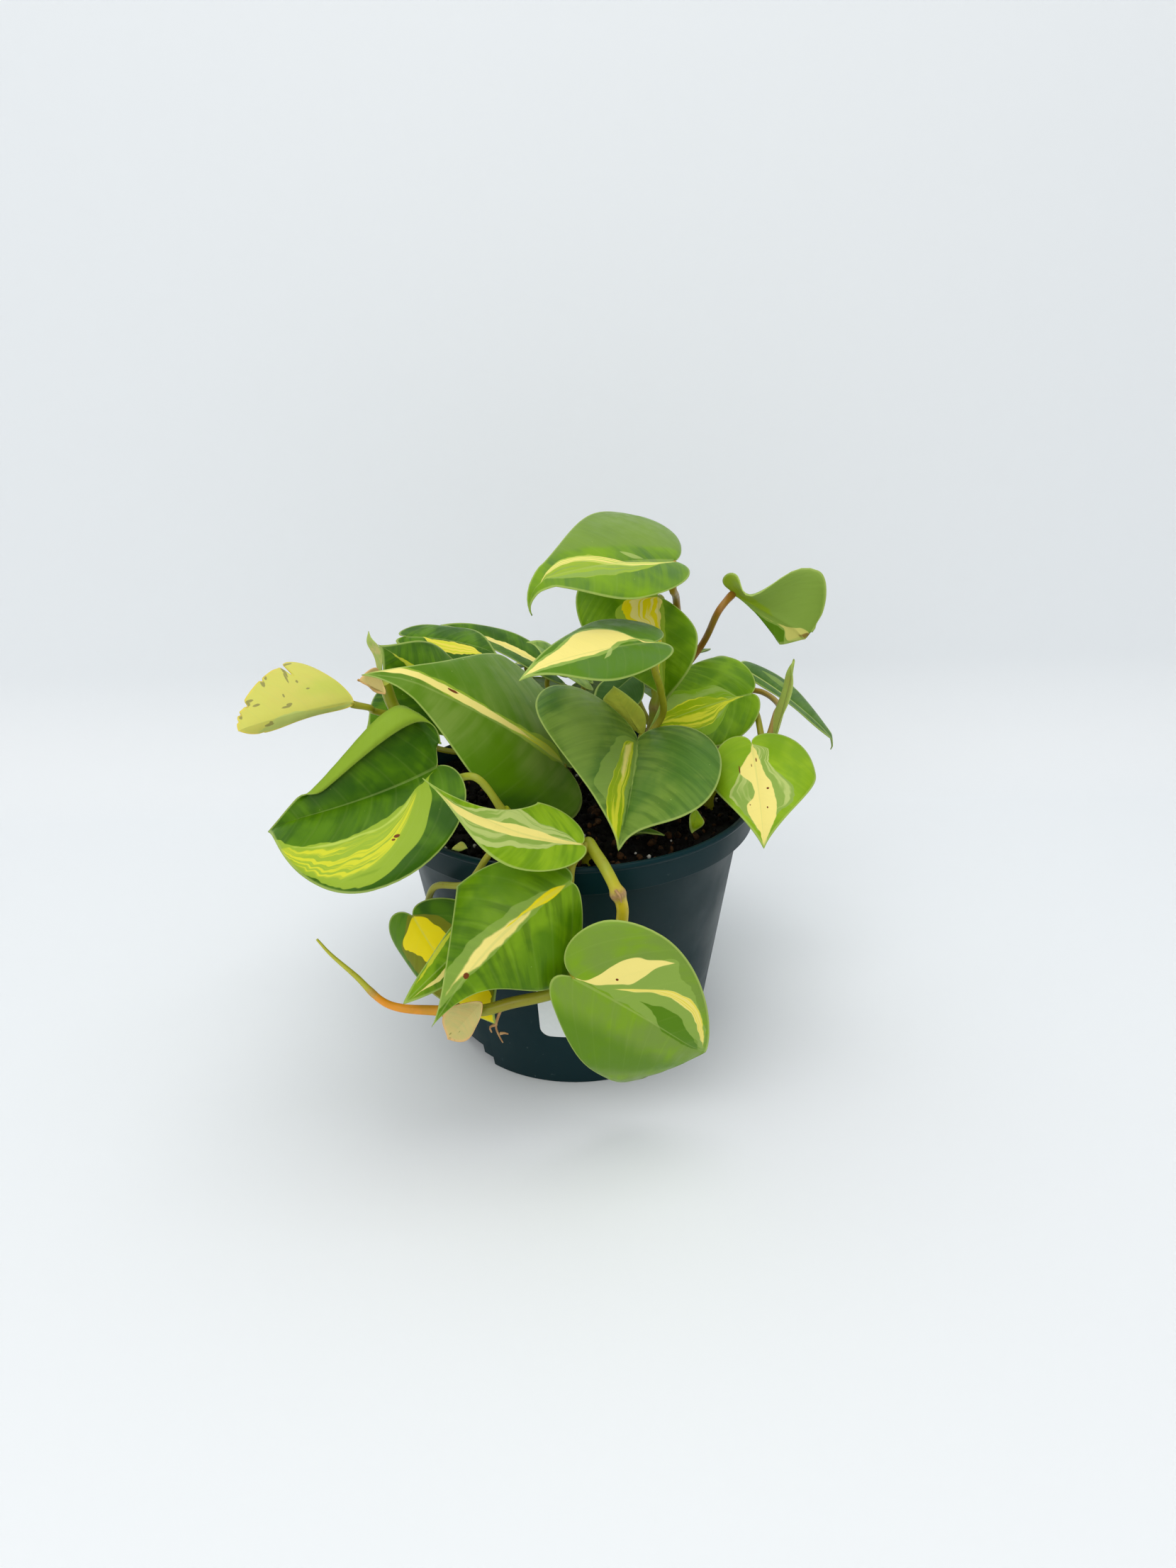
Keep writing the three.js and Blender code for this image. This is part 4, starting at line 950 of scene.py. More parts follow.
class Blade:
    # the bent surface of one leaf: margin and midrib in a frame of unit length, then a matrix to its place
    def __init__(self, leaf):
        self.leaf = leaf
        span = 1 - midribFrom
        self.frames = [self.midribFrame(midribFrom + span * i / midribSteps) for i in range(midribSteps + 1)]
        base, tip = Vector(leaf["base"]), Vector(leaf["tip"])
        widestPoints = self.spread() if "width" in leaf else [Vector(leaf["left"]), Vector(leaf["right"])]
        chord = self.midribFrame(1)[0]
        reach = tip - base
        self.scale = reach.length / chord.length
        own = basis(chord, Vector((0, 1, 0)))
        self.matrix = basis(reach, widestPoints[0] - widestPoints[1]) @ own.transposed() * self.scale
        self.base = base
        inverse = self.matrix.inverted()
        self.halves = []
        for side, point in enumerate(widestPoints):
            goal = inverse @ (point - base)
            widest = goal.x
            for _ in range(6):
                place, tangent, across, normal = self.midribFrame(widest)
                widest += (goal - place).dot(tangent)
            place, tangent, across, normal = self.midribFrame(widest)
            offset = goal - place
            out = offset.dot(across) * (1 if side == 0 else -1)
            rise = offset.dot(normal)
            curl = math.radians(self.value("curl", side, 20))
            roll = leaf["roll"] if leaf.get("roll", {}).get("side") == side else None
            endX, endY = sweepEnd(curl, roll["from"] if roll else 1)
            self.halves.append({
                "widest": widest, "width": math.hypot(out, rise) / math.hypot(endX, endY),
                "fold": math.atan2(rise, out) - math.atan2(endY, endX), "curl": curl, "roll": roll,
                "full": self.value("full", side, 0.5), "neck": self.value("neck", side, 0.26),
                "point": self.value("point", side, 0.06), "lobe": self.value("lobe", side, 0.3),
            })

    def value(self, key, side, usual):
        found = self.leaf.get(key, usual)
        return found[side] if isinstance(found, tuple) else found

    def spread(self):
        leaf = self.leaf
        reach = Vector(leaf["tip"]) - Vector(leaf["base"])
        across = up.cross(reach).normalized()
        normal = reach.cross(across).normalized()
        middle = Vector(leaf["base"]) + reach * 0.22 + normal * 0.12 * leaf["width"]
        return [middle + across * share * leaf["width"] for share in (0.5, -0.5)]

    def midribFrame(self, x):
        leaf = self.leaf
        hook = leaf.get("hookFrom", 0.75)

        def tangentAt(u):
            pitch = math.radians(leaf.get("lobeDrop", 10) * (-u / 0.2))
            if u >= 0:
                pitch = -math.radians(leaf["droop"] * u + leaf["tipCurl"] * max(0, (u - hook) / (1 - hook)))
            yaw = math.radians(leaf.get("sway", 0) * max(0, u))
            return Vector((math.cos(pitch) * math.cos(yaw), math.cos(pitch) * math.sin(yaw), math.sin(pitch)))

        place = Vector((0, 0, 0))
        for i in range(12):
            place += tangentAt((i + 0.5) / 12 * x) * (x / 12)
        tangent = tangentAt(x)
        yaw = math.radians(leaf.get("sway", 0) * max(0, x))
        across = Vector((-math.sin(yaw), math.cos(yaw), 0))
        return place, tangent, across, tangent.cross(across)

    def frameAt(self, x):
        spot = min(midribSteps - 0.001, max(0, (x - midribFrom) / (1 - midribFrom) * midribSteps))
        i = int(spot)
        share = spot - i
        return [a.lerp(b, share) for a, b in zip(self.frames[i], self.frames[i + 1])]

    def margin(self, s, half):
        widest, width, ahead = half["widest"], half["width"], 1 - half["widest"]
        if s < lobeShare:
            lobe = half["lobe"]
            back = (widest - lobePull - lobe, width)
            return bezier(s / lobeShare, (0, 0), (-lobe, lobeRise), back, (widest, width))
        near = (widest + half["full"] * ahead, width)
        far = (1 - half["neck"] * ahead, half["point"])
        return bezier((s - lobeShare) / (1 - lobeShare), (widest, width), near, far, (1, 0))

    def point(self, s, t, side):
        half = self.halves[side]
        edgeX, edgeY = self.margin(s, half)
        for at, deep, wide in self.leaf.get("notches", {}).get(side, ()):
            bite = deep * math.exp(-(((s - at) / wide) ** 2))
            edgeX += (midribAt(s) - edgeX) * bite
            edgeY *= 1 - bite
        x = midribAt(s) + (edgeX - midribAt(s)) * t
        across = edgeY * t
        turn = half["fold"]
        flute = self.leaf.get("flute")
        if flute and flute["side"] == side:
            turn += math.radians(flute["angle"]) * math.exp(-(((x - flute["at"]) / flute["reach"]) ** 2))
        roll = half["roll"]
        if roll:
            edgeShare = max(1e-4, edgeY / half["width"])
            turned = math.radians(roll["turn"]) * smooth(edgeShare, *rollFades)
            roll = {"turn": turned, "from": roll["from"] * edgeShare, "to": roll["to"] * edgeShare}
        endX, endY = sweepEnd(half["curl"], across / half["width"], roll)
        out = half["width"] * (endX * math.cos(turn) - endY * math.sin(turn))
        rise = half["width"] * (endX * math.sin(turn) + endY * math.cos(turn))
        sign = 1 if side == 0 else -1
        place, _, sideways, normal = self.frameAt(x)
        spot = self.matrix @ (place + sideways * sign * out + normal * rise) + self.base
        return spot, x, across * sign, (1 - t) * edgeY * self.scale


def midribAt(s):
    if s < lobeShare:
        return midribAtWidest * s / lobeShare
    return midribAtWidest + (1 - midribAtWidest) * (s - lobeShare) / (1 - lobeShare)


def veinAt(x, y):
    # the same number all along one side vein, which leaves the midrib steeply and bows towards the tip
    return x - blade["veinLean"] * abs(y) - blade["veinBow"] * y * y


def makeBlade(name, shape, material):
    rows, columns = shape.leaf.get("rows", blade["rows"]), blade["columns"]
    spots = []

    def add(s, t, side):
        spots.append(shape.point(s, t, side))
        return len(spots) - 1

    middle = [add(i / rows, 0, 0) for i in range(rows + 1)]
    grids = []
    for side in (0, 1):
        grid = []
        for i in range(rows + 1):
            ends = i in (0, rows)
            row = [middle[i]]
            for j in range(1, columns + 1):
                row.append(middle[i] if ends else add(i / rows, (j / columns) ** blade["crowding"], side))
            grid.append(row)
        grids.append(grid)
    faces = []
    rim = []
    for side, grid in enumerate(grids):
        for i in range(rows):
            for j in range(columns):
                corners = [grid[i][j], grid[i + 1][j], grid[i + 1][j + 1], grid[i][j + 1]]
                corners = [c for k, c in enumerate(corners) if c != corners[k - 1]]
                if len(corners) > 2:
                    faces.append(corners if side == 0 else corners[::-1])
            near, far = grid[i][columns], grid[i + 1][columns]
            rim.append((far, near) if side == 0 else (near, far))
    normals = [Vector((0, 0, 0)) for _ in spots]
    for face in faces:
        a, b, c = (spots[k][0] for k in face[:3])
        normal = (b - a).cross(c - a)
        if len(face) == 4:
            normal += (c - a).cross(spots[face[3]][0] - a)
        for k in face:
            normals[k] += normal
    points, flat, margin = [], [], []
    seed = sum(ord(letter) for letter in name)
    for way in (1, -1):
        for (place, x, y, edge), normal in zip(spots, normals):
            normal = normal.normalized()
            inner = min(1.0, max(0.0, edge / blade["edgeZone"]))
            half = (blade["edgeThickness"] + (blade["thickness"] - blade["edgeThickness"]) * inner) / 2
            vein = math.cos(2 * math.pi * blade["veins"] * veinAt(x, y) + seed)
            quilt = -blade["veinDepth"] * max(0.0, vein) ** 3 * min(1, abs(y) * shape.scale / 3) * inner
            rib = math.exp(-((abs(y) * shape.scale / blade["ribReach"]) ** 2)) * (1 - 0.7 * max(0, x))
            rib *= 1 if x > -0.01 else 0
            wave = blade["ripple"] * math.sin(9 * x + 1.3 * seed) * (1 - inner) ** 2
            lift = way * half + quilt + wave
            lift -= rib * (blade["groove"] if way > 0 else blade["ridge"])
            points.append(place + normal * lift)
            flat.append((x, y, 0.0 if way > 0 else 1.0))
            margin.append(edge)
    count = len(spots)
    every = list(faces) + [[k + count for k in face[::-1]] for face in faces]
    rimIndex = {}
    for a, b in rim:
        for k in (a, b):
            if k not in rimIndex:
                rimIndex[k] = len(points)
                place, x, y, edge = spots[k]
                outward = (place - shape.base - shape.matrix @ shape.frameAt(x)[0]).normalized()
                points.append((points[k] + points[k + count]) / 2 + outward * blade["rimSwell"])
                flat.append((x, y, 0.5))
                margin.append(0.0)
    for a, b in rim:
        every.append([a, rimIndex[a], rimIndex[b], b])
        every.append([rimIndex[a], a + count, b + count, rimIndex[b]])
    piece = linkMesh(name, points, every, material)
    layer = piece.data.attributes.new("blade", "FLOAT_VECTOR", "POINT")
    for item, value in zip(layer.data, flat):
        item.vector = value
    layer = piece.data.attributes.new("margin", "FLOAT", "POINT")
    for item, value in zip(layer.data, margin):
        item.value = value
    return piece


# Fields are coloured areas of a blade: stations (x, low y, high y) in its flat frame, x from the base to the
# tip. Scars are corky marks: x, y, half their length along the blade and half their width.
looks = {
    "leaf_top": {
        "ground": ("leafBlue", "leafLight"), "rib": 0.3,
        "fields": [
            {"ink": "leafGrey", "soft": 0.04, "strength": 0.8, "at": [
                (0.0, -0.6, -0.06), (0.3, -0.6, -0.08), (0.6, -0.5, -0.1), (0.8, -0.3, -0.04)]},
            {"ink": "flankLime", "streaks": "flank", "jag": 0.02, "at": [
                (0.0, -0.01, 0.01), (0.1, 0.01, 0.045), (0.24, 0.0, 0.084), (0.32, -0.01, 0.1),
                (0.45, -0.06, 0.1), (0.51, -0.095, 0.095), (0.64, -0.095, 0.074), (0.76, -0.04, 0.034),
                (0.82, -0.004, 0.0)]},
            {"ink": "creamLime", "streaks": "cream", "jag": 0.006, "at": [
                (0.0, 0.0, 0.02), (0.1, 0.015, 0.04), (0.2, 0.01, 0.05), (0.3, 0.0, 0.05),
                (0.4, -0.04, 0.02), (0.5, -0.075, -0.02), (0.6, -0.085, -0.045), (0.7, -0.07, -0.035),
                (0.8, -0.015, 0.0)]},
            {"ink": "flankPale", "strength": 0.6, "at": [
                (0.17, -0.012, 0.0), (0.22, -0.04, 0.0), (0.28, -0.07, -0.02), (0.34, -0.095, -0.085)]},
        ],
    },
    "leaf_upper_middle": {
        "ground": ("leafBlue", "leafMid"),
        "fields": [
            {"ink": "flank", "jag": 0.01, "at": [
                (0.02, -0.03, 0.02), (0.1, -0.06, -0.02), (0.2, -0.2, -0.02), (0.35, -0.26, 0.04),
                (0.5, -0.21, 0.07), (0.7, -0.1, 0.07), (0.9, -0.04, 0.04), (1.0, -0.01, 0.01)]},
            {"ink": "cream", "jag": 0.012, "at": [
                (0.0, 0.0, 0.02), (0.08, -0.03, 0.0), (0.13, -0.075, -0.04), (0.16, -0.13, -0.04),
                (0.2, -0.18, -0.036), (0.27, -0.22, -0.03), (0.35, -0.235, 0.01), (0.46, -0.22, 0.04),
                (0.54, -0.17, 0.046), (0.62, -0.12, 0.046), (0.73, -0.075, 0.04), (0.88, -0.03, 0.027),
                (1.0, 0.0, 0.004)]},
            {"ink": "flankPale", "strength": 0.7, "at": [
                (0.3, -0.04, -0.03), (0.4, 0.03, 0.09), (0.49, 0.11, 0.115)]},
        ],
    },
    "leaf_upper_yellow": {
        "ground": ("leafLight", "leafMid"),
        "fields": [
            {"ink": "flankLime", "at": [
                (0.02, -0.3, 0.06), (0.15, -0.42, 0.08), (0.3, -0.25, 0.08), (0.5, -0.12, 0.07),
                (0.85, -0.06, 0.02)]},
            {"ink": "yellow", "streaks": "cream", "jag": 0.05, "at": [
                (0.0, -0.05, 0.02), (0.05, -0.36, 0.06), (0.15, -0.36, 0.05), (0.25, -0.22, 0.04),
                (0.4, -0.14, 0.04), (0.6, -0.1, 0.01), (0.82, -0.03, -0.02)]},
        ],
    },
    "leaf_right_high": {
        "ground": ("flank", "flank"), "underPale": 0.1, "rib": 0.0,
        "fields": [
            {"ink": "limeDeep", "strength": 0.8, "soft": 0.05, "jag": 0.03, "at": [
                (-0.02, -0.65, 0.02), (0.1, -0.65, 0.03), (0.2, -0.4, 0.04), (0.3, -0.16, 0.05),
                (0.45, -0.08, 0.06), (0.55, -0.02, 0.05)]},
            {"ink": "leafMid", "jag": 0.02, "at": [
                (0.15, 0.03, 0.3), (0.35, 0.08, 0.3), (0.5, 0.1, 0.3), (0.6, 0.09, 0.3), (0.7, 0.09, 0.28),
                (0.76, 0.18, 0.3)]},
            {"ink": "cream", "strength": 0.75, "soft": 0.012, "at": [
                (0.0, 0.0, 0.01), (0.15, 0.015, 0.03), (0.3, 0.04, 0.06), (0.4, 0.06, 0.09),
                (0.5, 0.065, 0.1), (0.6, 0.055, 0.09), (0.7, 0.03, 0.1), (0.8, -0.02, 0.2),
                (0.9, -0.08, 0.13), (1.0, -0.1, 0.02)]},
            {"ink": "rust", "strength": 0.8, "soft": 0.03, "jag": 0.03, "at": [
                (0.86, 0.02, 0.05), (0.92, -0.03, 0.06), (0.97, -0.1, 0.05), (1.0, -0.12, 0.03)]},
        ],
    },
    "leaf_right_heart": {
        "ground": ("leafMid", "leafLight"),
        "fields": [
            {"ink": "flank", "streaks": "leafLight", "jag": 0.03, "at": [
                (0.0, -0.01, 0.0), (0.1, -0.02, 0.03), (0.2, -0.12, 0.06), (0.24, -0.16, 0.1),
                (0.33, -0.21, 0.2), (0.48, -0.22, 0.27), (0.56, -0.26, 0.27), (0.67, -0.285, 0.22),
                (0.8, -0.2, 0.12), (1.0, -0.02, 0.0)]},
            {"ink": "lime", "streaks": "limeDeep", "jag": 0.03, "at": [
                (0.0, -0.01, 0.01), (0.1, -0.02, 0.03), (0.19, -0.03, 0.045), (0.3, -0.07, 0.1),
                (0.39, -0.11, 0.17), (0.5, -0.13, 0.19), (0.6, -0.13, 0.17), (0.69, -0.11, 0.12),
                (0.8, -0.08, 0.06), (1.0, -0.01, 0.0)]},
        ],
    },
    "leaf_right_behind": {"ground": ("leafMid", "leafDark")},
    "leaf_right_long": {
        "ground": ("leafBlue", "leafBlueDark"), "rib": 0.9, "ribInk": "flankPale",
        "fields": [
            {"ink": "flank", "strength": 0.6, "at": [
                (0.1, 0.1, 0.12), (0.3, 0.06, 0.17), (0.45, 0.1, 0.12)]},
        ],
    },
    "leaf_right_low": {
        "ground": ("leafLime", "leafLight"),
        "scars": [
            (0.2, 0.015, 0.03, 0.006), (0.26, -0.03, 0.02, 0.004), (0.3, -0.13, 0.05, 0.006),
            (0.5, 0.075, 0.012, 0.012), (0.67, 0.055, 0.01, 0.007), (0.64, -0.08, 0.006, 0.006),
        ],
        "fields": [
            {"ink": "flankPale", "streaks": "flank", "jag": 0.04, "at": [
                (0.02, -0.02, 0.05), (0.12, -0.05, 0.15), (0.21, -0.1, 0.14), (0.32, -0.15, 0.17),
                (0.4, -0.19, 0.24), (0.52, -0.25, 0.3), (0.63, -0.21, 0.28), (0.7, -0.16, 0.18),
                (0.85, -0.06, 0.08)]},
            {"ink": "cream", "jag": 0.02, "at": [
                (0.0, -0.01, 0.02), (0.12, -0.04, 0.045), (0.2, -0.09, 0.055), (0.33, -0.14, 0.075),
                (0.45, -0.06, 0.12), (0.55, -0.05, 0.135), (0.66, -0.12, 0.14), (0.75, -0.1, 0.125),
                (0.84, -0.05, 0.08), (1.0, -0.005, 0.005)]},
        ],
    },
    "leaf_centre": {
        "ground": ("leafBlue", "leafGrey"), "streak": "leafBlueDark", "specks": 0.76,
        "fields": [
            # painted light: the half of the blade past the stripe, which faces left, is painted paler with
            # flank green at low strength
            {"ink": "flank", "strength": 0.55, "soft": 0.12, "jag": 0.05, "at": [
                (-0.3, -0.7, -0.2), (0.0, -0.7, -0.2), (0.3, -0.7, -0.22), (0.6, -0.6, -0.24),
                (0.8, -0.4, -0.15)]},
            {"ink": "flank", "strength": 0.75, "jag": 0.03, "at": [
                (0.02, -0.03, 0.01), (0.11, -0.16, 0.03), (0.28, -0.22, 0.03), (0.45, -0.27, 0.02),
                (0.6, -0.3, 0.0), (0.68, -0.31, 0.0), (0.75, -0.2, 0.0)]},
            {"ink": "lime", "streaks": "limeDeep", "jag": 0.015, "at": [
                (0.07, -0.05, -0.03), (0.13, -0.11, -0.025), (0.24, -0.14, -0.025), (0.34, -0.147, -0.025),
                (0.49, -0.17, -0.03), (0.6, -0.183, -0.045), (0.7, -0.19, -0.025), (0.8, -0.175, -0.02),
                (1.0, -0.01, 0.0)]},
            {"ink": "cream", "strength": 0.85, "soft": 0.025, "at": [
                (0.07, -0.06, -0.03), (0.2, -0.125, -0.04), (0.35, -0.13, -0.05), (0.5, -0.12, -0.06),
                (0.6, -0.1, -0.08)]},
        ],
    },
    "leaf_left_big": {
        "ground": ("leafGrey", "leafMid"),
        "scars": [(0.63, -0.04, 0.03, 0.008)],
        "fields": [
            {"ink": "leafMid", "strength": 0.9, "soft": 0.12, "jag": 0.04, "at": [
                (-0.1, 0.1, 0.7), (0.1, 0.06, 0.7), (0.3, 0.05, 0.7), (0.45, 0.08, 0.5), (0.6, 0.1, 0.3)]},
            {"ink": "leafDark", "strength": 0.8, "soft": 0.1, "jag": 0.05, "at": [
                (-0.05, 0.2, 0.7), (0.1, 0.14, 0.7), (0.22, 0.15, 0.7), (0.32, 0.2, 0.5)]},
            {"ink": "flankLime", "strength": 0.8, "jag": 0.02, "at": [
                (0.03, -0.025, 0.015), (0.08, -0.08, 0.03), (0.15, -0.08, 0.03), (0.25, -0.06, 0.02),
                (0.4, -0.06, 0.012), (0.55, -0.07, 0.008), (0.7, -0.078, 0.0), (0.85, -0.075, -0.02),
                (1.0, -0.02, 0.0)]},
            {"ink": "creamLime", "streaks": "lime", "jag": 0.008, "at": [
                (0.02, -0.01, 0.005), (0.08, -0.035, 0.008), (0.15, -0.045, 0.006), (0.25, -0.045, 0.002),
                (0.35, -0.035, 0.0), (0.5, -0.03, -0.005)]},
            {"ink": "cream", "jag": 0.008, "soft": 0.004, "at": [
                (0.2, -0.02, -0.01), (0.3, -0.035, -0.002), (0.4, -0.042, 0.003), (0.5, -0.048, 0.002),
                (0.6, -0.054, -0.002), (0.7, -0.058, -0.01), (0.8, -0.06, -0.018), (0.88, -0.052, -0.015),
                (0.95, -0.03, -0.005), (1.0, -0.01, 0.0)]},
        ],
    },
    "leaf_left_arch": {
        "ground": ("leafMid", "leafDark"), "underInk": "roll", "underPale": 0.9, "rib": 0.15,
        "scars": [(0.39, 0.32, 0.016, 0.012), (0.41, 0.335, 0.01, 0.008)],
        "fields": [
            {"ink": "flankLime", "jag": 0.03, "strength": 0.9, "at": [
                (0.0, -0.01, 0.012), (0.1, 0.025, 0.08), (0.15, 0.045, 0.19), (0.2, 0.065, 0.26),
                (0.3, 0.13, 0.39), (0.4, 0.17, 0.47), (0.5, 0.2, 0.54), (0.58, 0.22, 0.56),
                (0.66, 0.215, 0.54), (0.75, 0.2, 0.45), (0.82, 0.18, 0.36), (0.9, 0.1, 0.2),
                (1.0, 0.0, 0.0)]},
            {"ink": "lime", "streaks": "flankLime", "soft": 0.02, "jag": 0.05, "at": [
                (0.0, -0.008, 0.01), (0.08, 0.02, 0.045), (0.16, 0.05, 0.1), (0.25, 0.1, 0.2),
                (0.35, 0.17, 0.32), (0.45, 0.22, 0.43), (0.55, 0.23, 0.49), (0.65, 0.235, 0.5),
                (0.75, 0.22, 0.43), (0.84, 0.18, 0.32), (0.9, 0.12, 0.19), (1.0, 0.0, 0.0)]},
            {"ink": "leafMid", "strength": 0.55, "soft": 0.02, "jag": 0.03, "at": [
                (0.45, 0.44, 0.46), (0.55, 0.45, 0.51), (0.65, 0.46, 0.5), (0.72, 0.44, 0.46)]},
            {"ink": "creamLime", "strength": 0.85, "soft": 0.012, "jag": 0.012, "at": [
                (0.1, 0.03, 0.045), (0.2, 0.075, 0.1), (0.3, 0.15, 0.19), (0.42, 0.215, 0.25),
                (0.52, 0.225, 0.26), (0.63, 0.23, 0.27), (0.75, 0.22, 0.25), (0.85, 0.17, 0.19),
                (0.95, 0.04, 0.05)]},
        ],
    },
    "leaf_middle_low": {
        "ground": ("leafLight", "leafLime"), "streak": "leafMid",
        "fields": [
            {"ink": "flankPale", "streaks": "flank", "jag": 0.03, "at": [
                (0.02, -0.02, 0.02), (0.11, -0.085, 0.03), (0.2, -0.11, 0.06), (0.28, -0.12, 0.1),
                (0.36, -0.17, 0.12), (0.45, -0.2, 0.14), (0.55, -0.12, 0.19), (0.66, -0.06, 0.2),
                (0.74, -0.02, 0.15), (0.9, 0.0, 0.07), (1.0, 0.0, 0.0)]},
            {"ink": "cream", "jag": 0.006, "at": [
                (0.0, -0.01, 0.01), (0.17, -0.03, 0.017), (0.28, -0.05, 0.025), (0.4, -0.05, 0.045),
                (0.5, -0.03, 0.06), (0.6, -0.01, 0.075), (0.7, 0.01, 0.085), (0.85, 0.02, 0.065),
                (1.0, 0.0, 0.005)]},
            {"ink": "cream", "strength": 0.7, "at": [
                (0.4, 0.03, 0.05), (0.5, 0.09, 0.11), (0.58, 0.13, 0.15), (0.68, 0.17, 0.18)]},
        ],
    },
    "leaf_front": {
        "ground": ("leafLight", "leafMid"), "streak": "leafDark",
        "scars": [(0.66, 0.0, 0.018, 0.016)],
        "fields": [
            {"ink": "leafMid", "strength": 0.7, "soft": 0.1, "jag": 0.05, "at": [
                (-0.1, -0.3, -0.05), (0.1, -0.32, -0.06), (0.3, -0.3, -0.08), (0.5, -0.2, -0.08)]},
            {"ink": "flank", "strength": 0.75, "jag": 0.02, "at": [
                (0.08, -0.03, 0.02), (0.15, -0.05, 0.03), (0.25, -0.07, 0.045), (0.35, -0.075, 0.05),
                (0.45, -0.09, 0.05), (0.55, -0.1, 0.045), (0.65, -0.1, 0.03), (0.75, -0.1, 0.015),
                (0.9, -0.06, 0.0), (1.0, -0.01, 0.0)]},
            {"ink": "cream", "soft": 0.012, "at": [
                (0.2, -0.012, 0.01), (0.3, -0.028, 0.035), (0.4, -0.04, 0.045), (0.5, -0.06, 0.04),
                (0.6, -0.05, 0.03), (0.68, -0.045, 0.0), (0.8, -0.04, -0.01), (0.95, -0.015, 0.0)]},
            {"ink": "yellow", "jag": 0.008, "at": [
                (0.03, -0.01, 0.005), (0.08, -0.025, 0.02), (0.14, -0.03, 0.025), (0.25, -0.02, 0.005),
                (0.4, -0.02, -0.005)]},
        ],
    },
    "leaf_front_round": {
        "ground": ("leafLight", "leafGrey"),
        "scars": [(0.2, 0.13, 0.009, 0.009)],
        "fields": [
            {"ink": "leafMid", "strength": 0.75, "soft": 0.16, "jag": 0.05, "at": [
                (-0.3, -0.7, -0.16), (0.0, -0.7, -0.12), (0.3, -0.7, -0.1), (0.6, -0.6, -0.1),
                (0.9, -0.4, -0.06)]},
            {"ink": "flank", "strength": 0.85, "jag": 0.03, "at": [
                (0.04, -0.005, 0.01), (0.1, 0.0, 0.05), (0.2, 0.0, 0.2), (0.3, 0.0, 0.33),
                (0.38, -0.005, 0.42), (0.45, -0.01, 0.36), (0.52, -0.01, 0.34), (0.58, -0.02, 0.31),
                (0.63, -0.01, 0.27), (0.7, 0.05, 0.23), (0.8, 0.04, 0.16), (0.92, 0.0, 0.05)]},
            {"ink": "leafMid", "jag": 0.02, "at": [
                (0.39, 0.07, 0.1), (0.45, 0.06, 0.12), (0.5, 0.035, 0.14), (0.56, 0.0, 0.15),
                (0.62, -0.03, 0.14), (0.7, -0.03, 0.1), (0.8, -0.03, 0.07), (0.9, -0.02, 0.02)]},
            {"ink": "butter", "streaks": "cream", "jag": 0.015, "at": [
                (0.1, 0.015, 0.03), (0.2, 0.05, 0.07), (0.3, 0.1, 0.14), (0.4, 0.16, 0.21),
                (0.5, 0.19, 0.26), (0.58, 0.19, 0.27), (0.66, 0.17, 0.24), (0.75, 0.12, 0.18),
                (0.85, 0.06, 0.1), (0.95, 0.01, 0.02)]},
            {"ink": "cream", "jag": 0.02, "at": [
                (0.0, -0.005, 0.01), (0.05, 0.0, 0.03), (0.1, 0.01, 0.1), (0.14, 0.03, 0.2),
                (0.18, 0.06, 0.27), (0.23, 0.1, 0.32), (0.27, 0.13, 0.34), (0.3, 0.2, 0.36),
                (0.33, 0.3, 0.38), (0.38, 0.37, 0.4)]},
        ],
    },
    "leaf_left_low": {
        "ground": ("leafMid", "leafDark"),
        "fields": [
            {"ink": "olive", "strength": 0.6, "jag": 0.04, "at": [
                (0.0, -0.1, 0.05), (0.05, -0.16, 0.14), (0.15, -0.3, 0.25), (0.35, -0.3, 0.27),
                (0.7, -0.25, 0.25), (0.95, -0.05, 0.05)]},
            {"ink": "yellow", "jag": 0.05, "at": [
                (0.0, -0.04, 0.03), (0.05, -0.13, 0.1), (0.13, -0.27, 0.15), (0.2, -0.22, 0.19),
                (0.27, -0.16, 0.19), (0.36, -0.14, 0.16), (0.6, -0.15, 0.15), (0.7, -0.12, 0.22),
                (0.85, -0.1, 0.12), (1.0, 0.0, 0.0)]},
        ],
    },
    "leaf_left_tucked": {
        "ground": ("leafMid", "leafLight"),
        "fields": [
            {"ink": "cream", "jag": 0.01, "at": [
                (0.3, -0.02, 0.02), (0.45, 0.0, 0.04), (0.55, 0.02, 0.09), (0.65, 0.03, 0.09),
                (0.78, 0.02, 0.05), (0.95, 0.0, 0.01)]},
            {"ink": "lime", "strength": 0.8, "at": [
                (0.35, -0.2, -0.15), (0.5, -0.18, -0.1), (0.7, -0.1, -0.05), (0.85, -0.04, -0.02)]},
        ],
    },
    "leaf_far_left": {
        "ground": ("straw", "butter"), "veins": 0.1, "underPale": 0.0, "specks": 0.95, "rib": 0.2,
        "edgeInk": "straw",
        "scars": [
            (0.455, -0.45, 0.016, 0.13), (0.47, -0.34, 0.01, 0.07), (0.41, -0.5, 0.07, 0.018),
            (0.67, -0.35, 0.02, 0.06), (0.63, -0.4, 0.016, 0.04), (0.86, -0.19, 0.035, 0.035),
            (0.79, -0.155, 0.035, 0.014), (0.83, -0.21, 0.04, 0.016), (0.94, -0.12, 0.02, 0.045),
            (0.57, -0.07, 0.05, 0.012), (0.54, -0.085, 0.03, 0.014), (0.555, -0.175, 0.01, 0.022),
            (0.4, -0.28, 0.012, 0.02), (0.34, -0.19, 0.02, 0.01), (0.75, 0.035, 0.045, 0.014),
            (0.73, 0.025, 0.02, 0.02),
        ],
        "fields": [
            {"ink": "lime", "strength": 0.75, "soft": 0.14, "at": [
                (0.0, -0.2, 0.03), (0.1, -0.32, 0.0), (0.2, -0.34, -0.03), (0.3, -0.3, -0.05),
                (0.45, -0.24, -0.08), (0.55, -0.15, -0.12)]},
            {"ink": "flankPale", "strength": 0.75, "soft": 0.012, "at": [
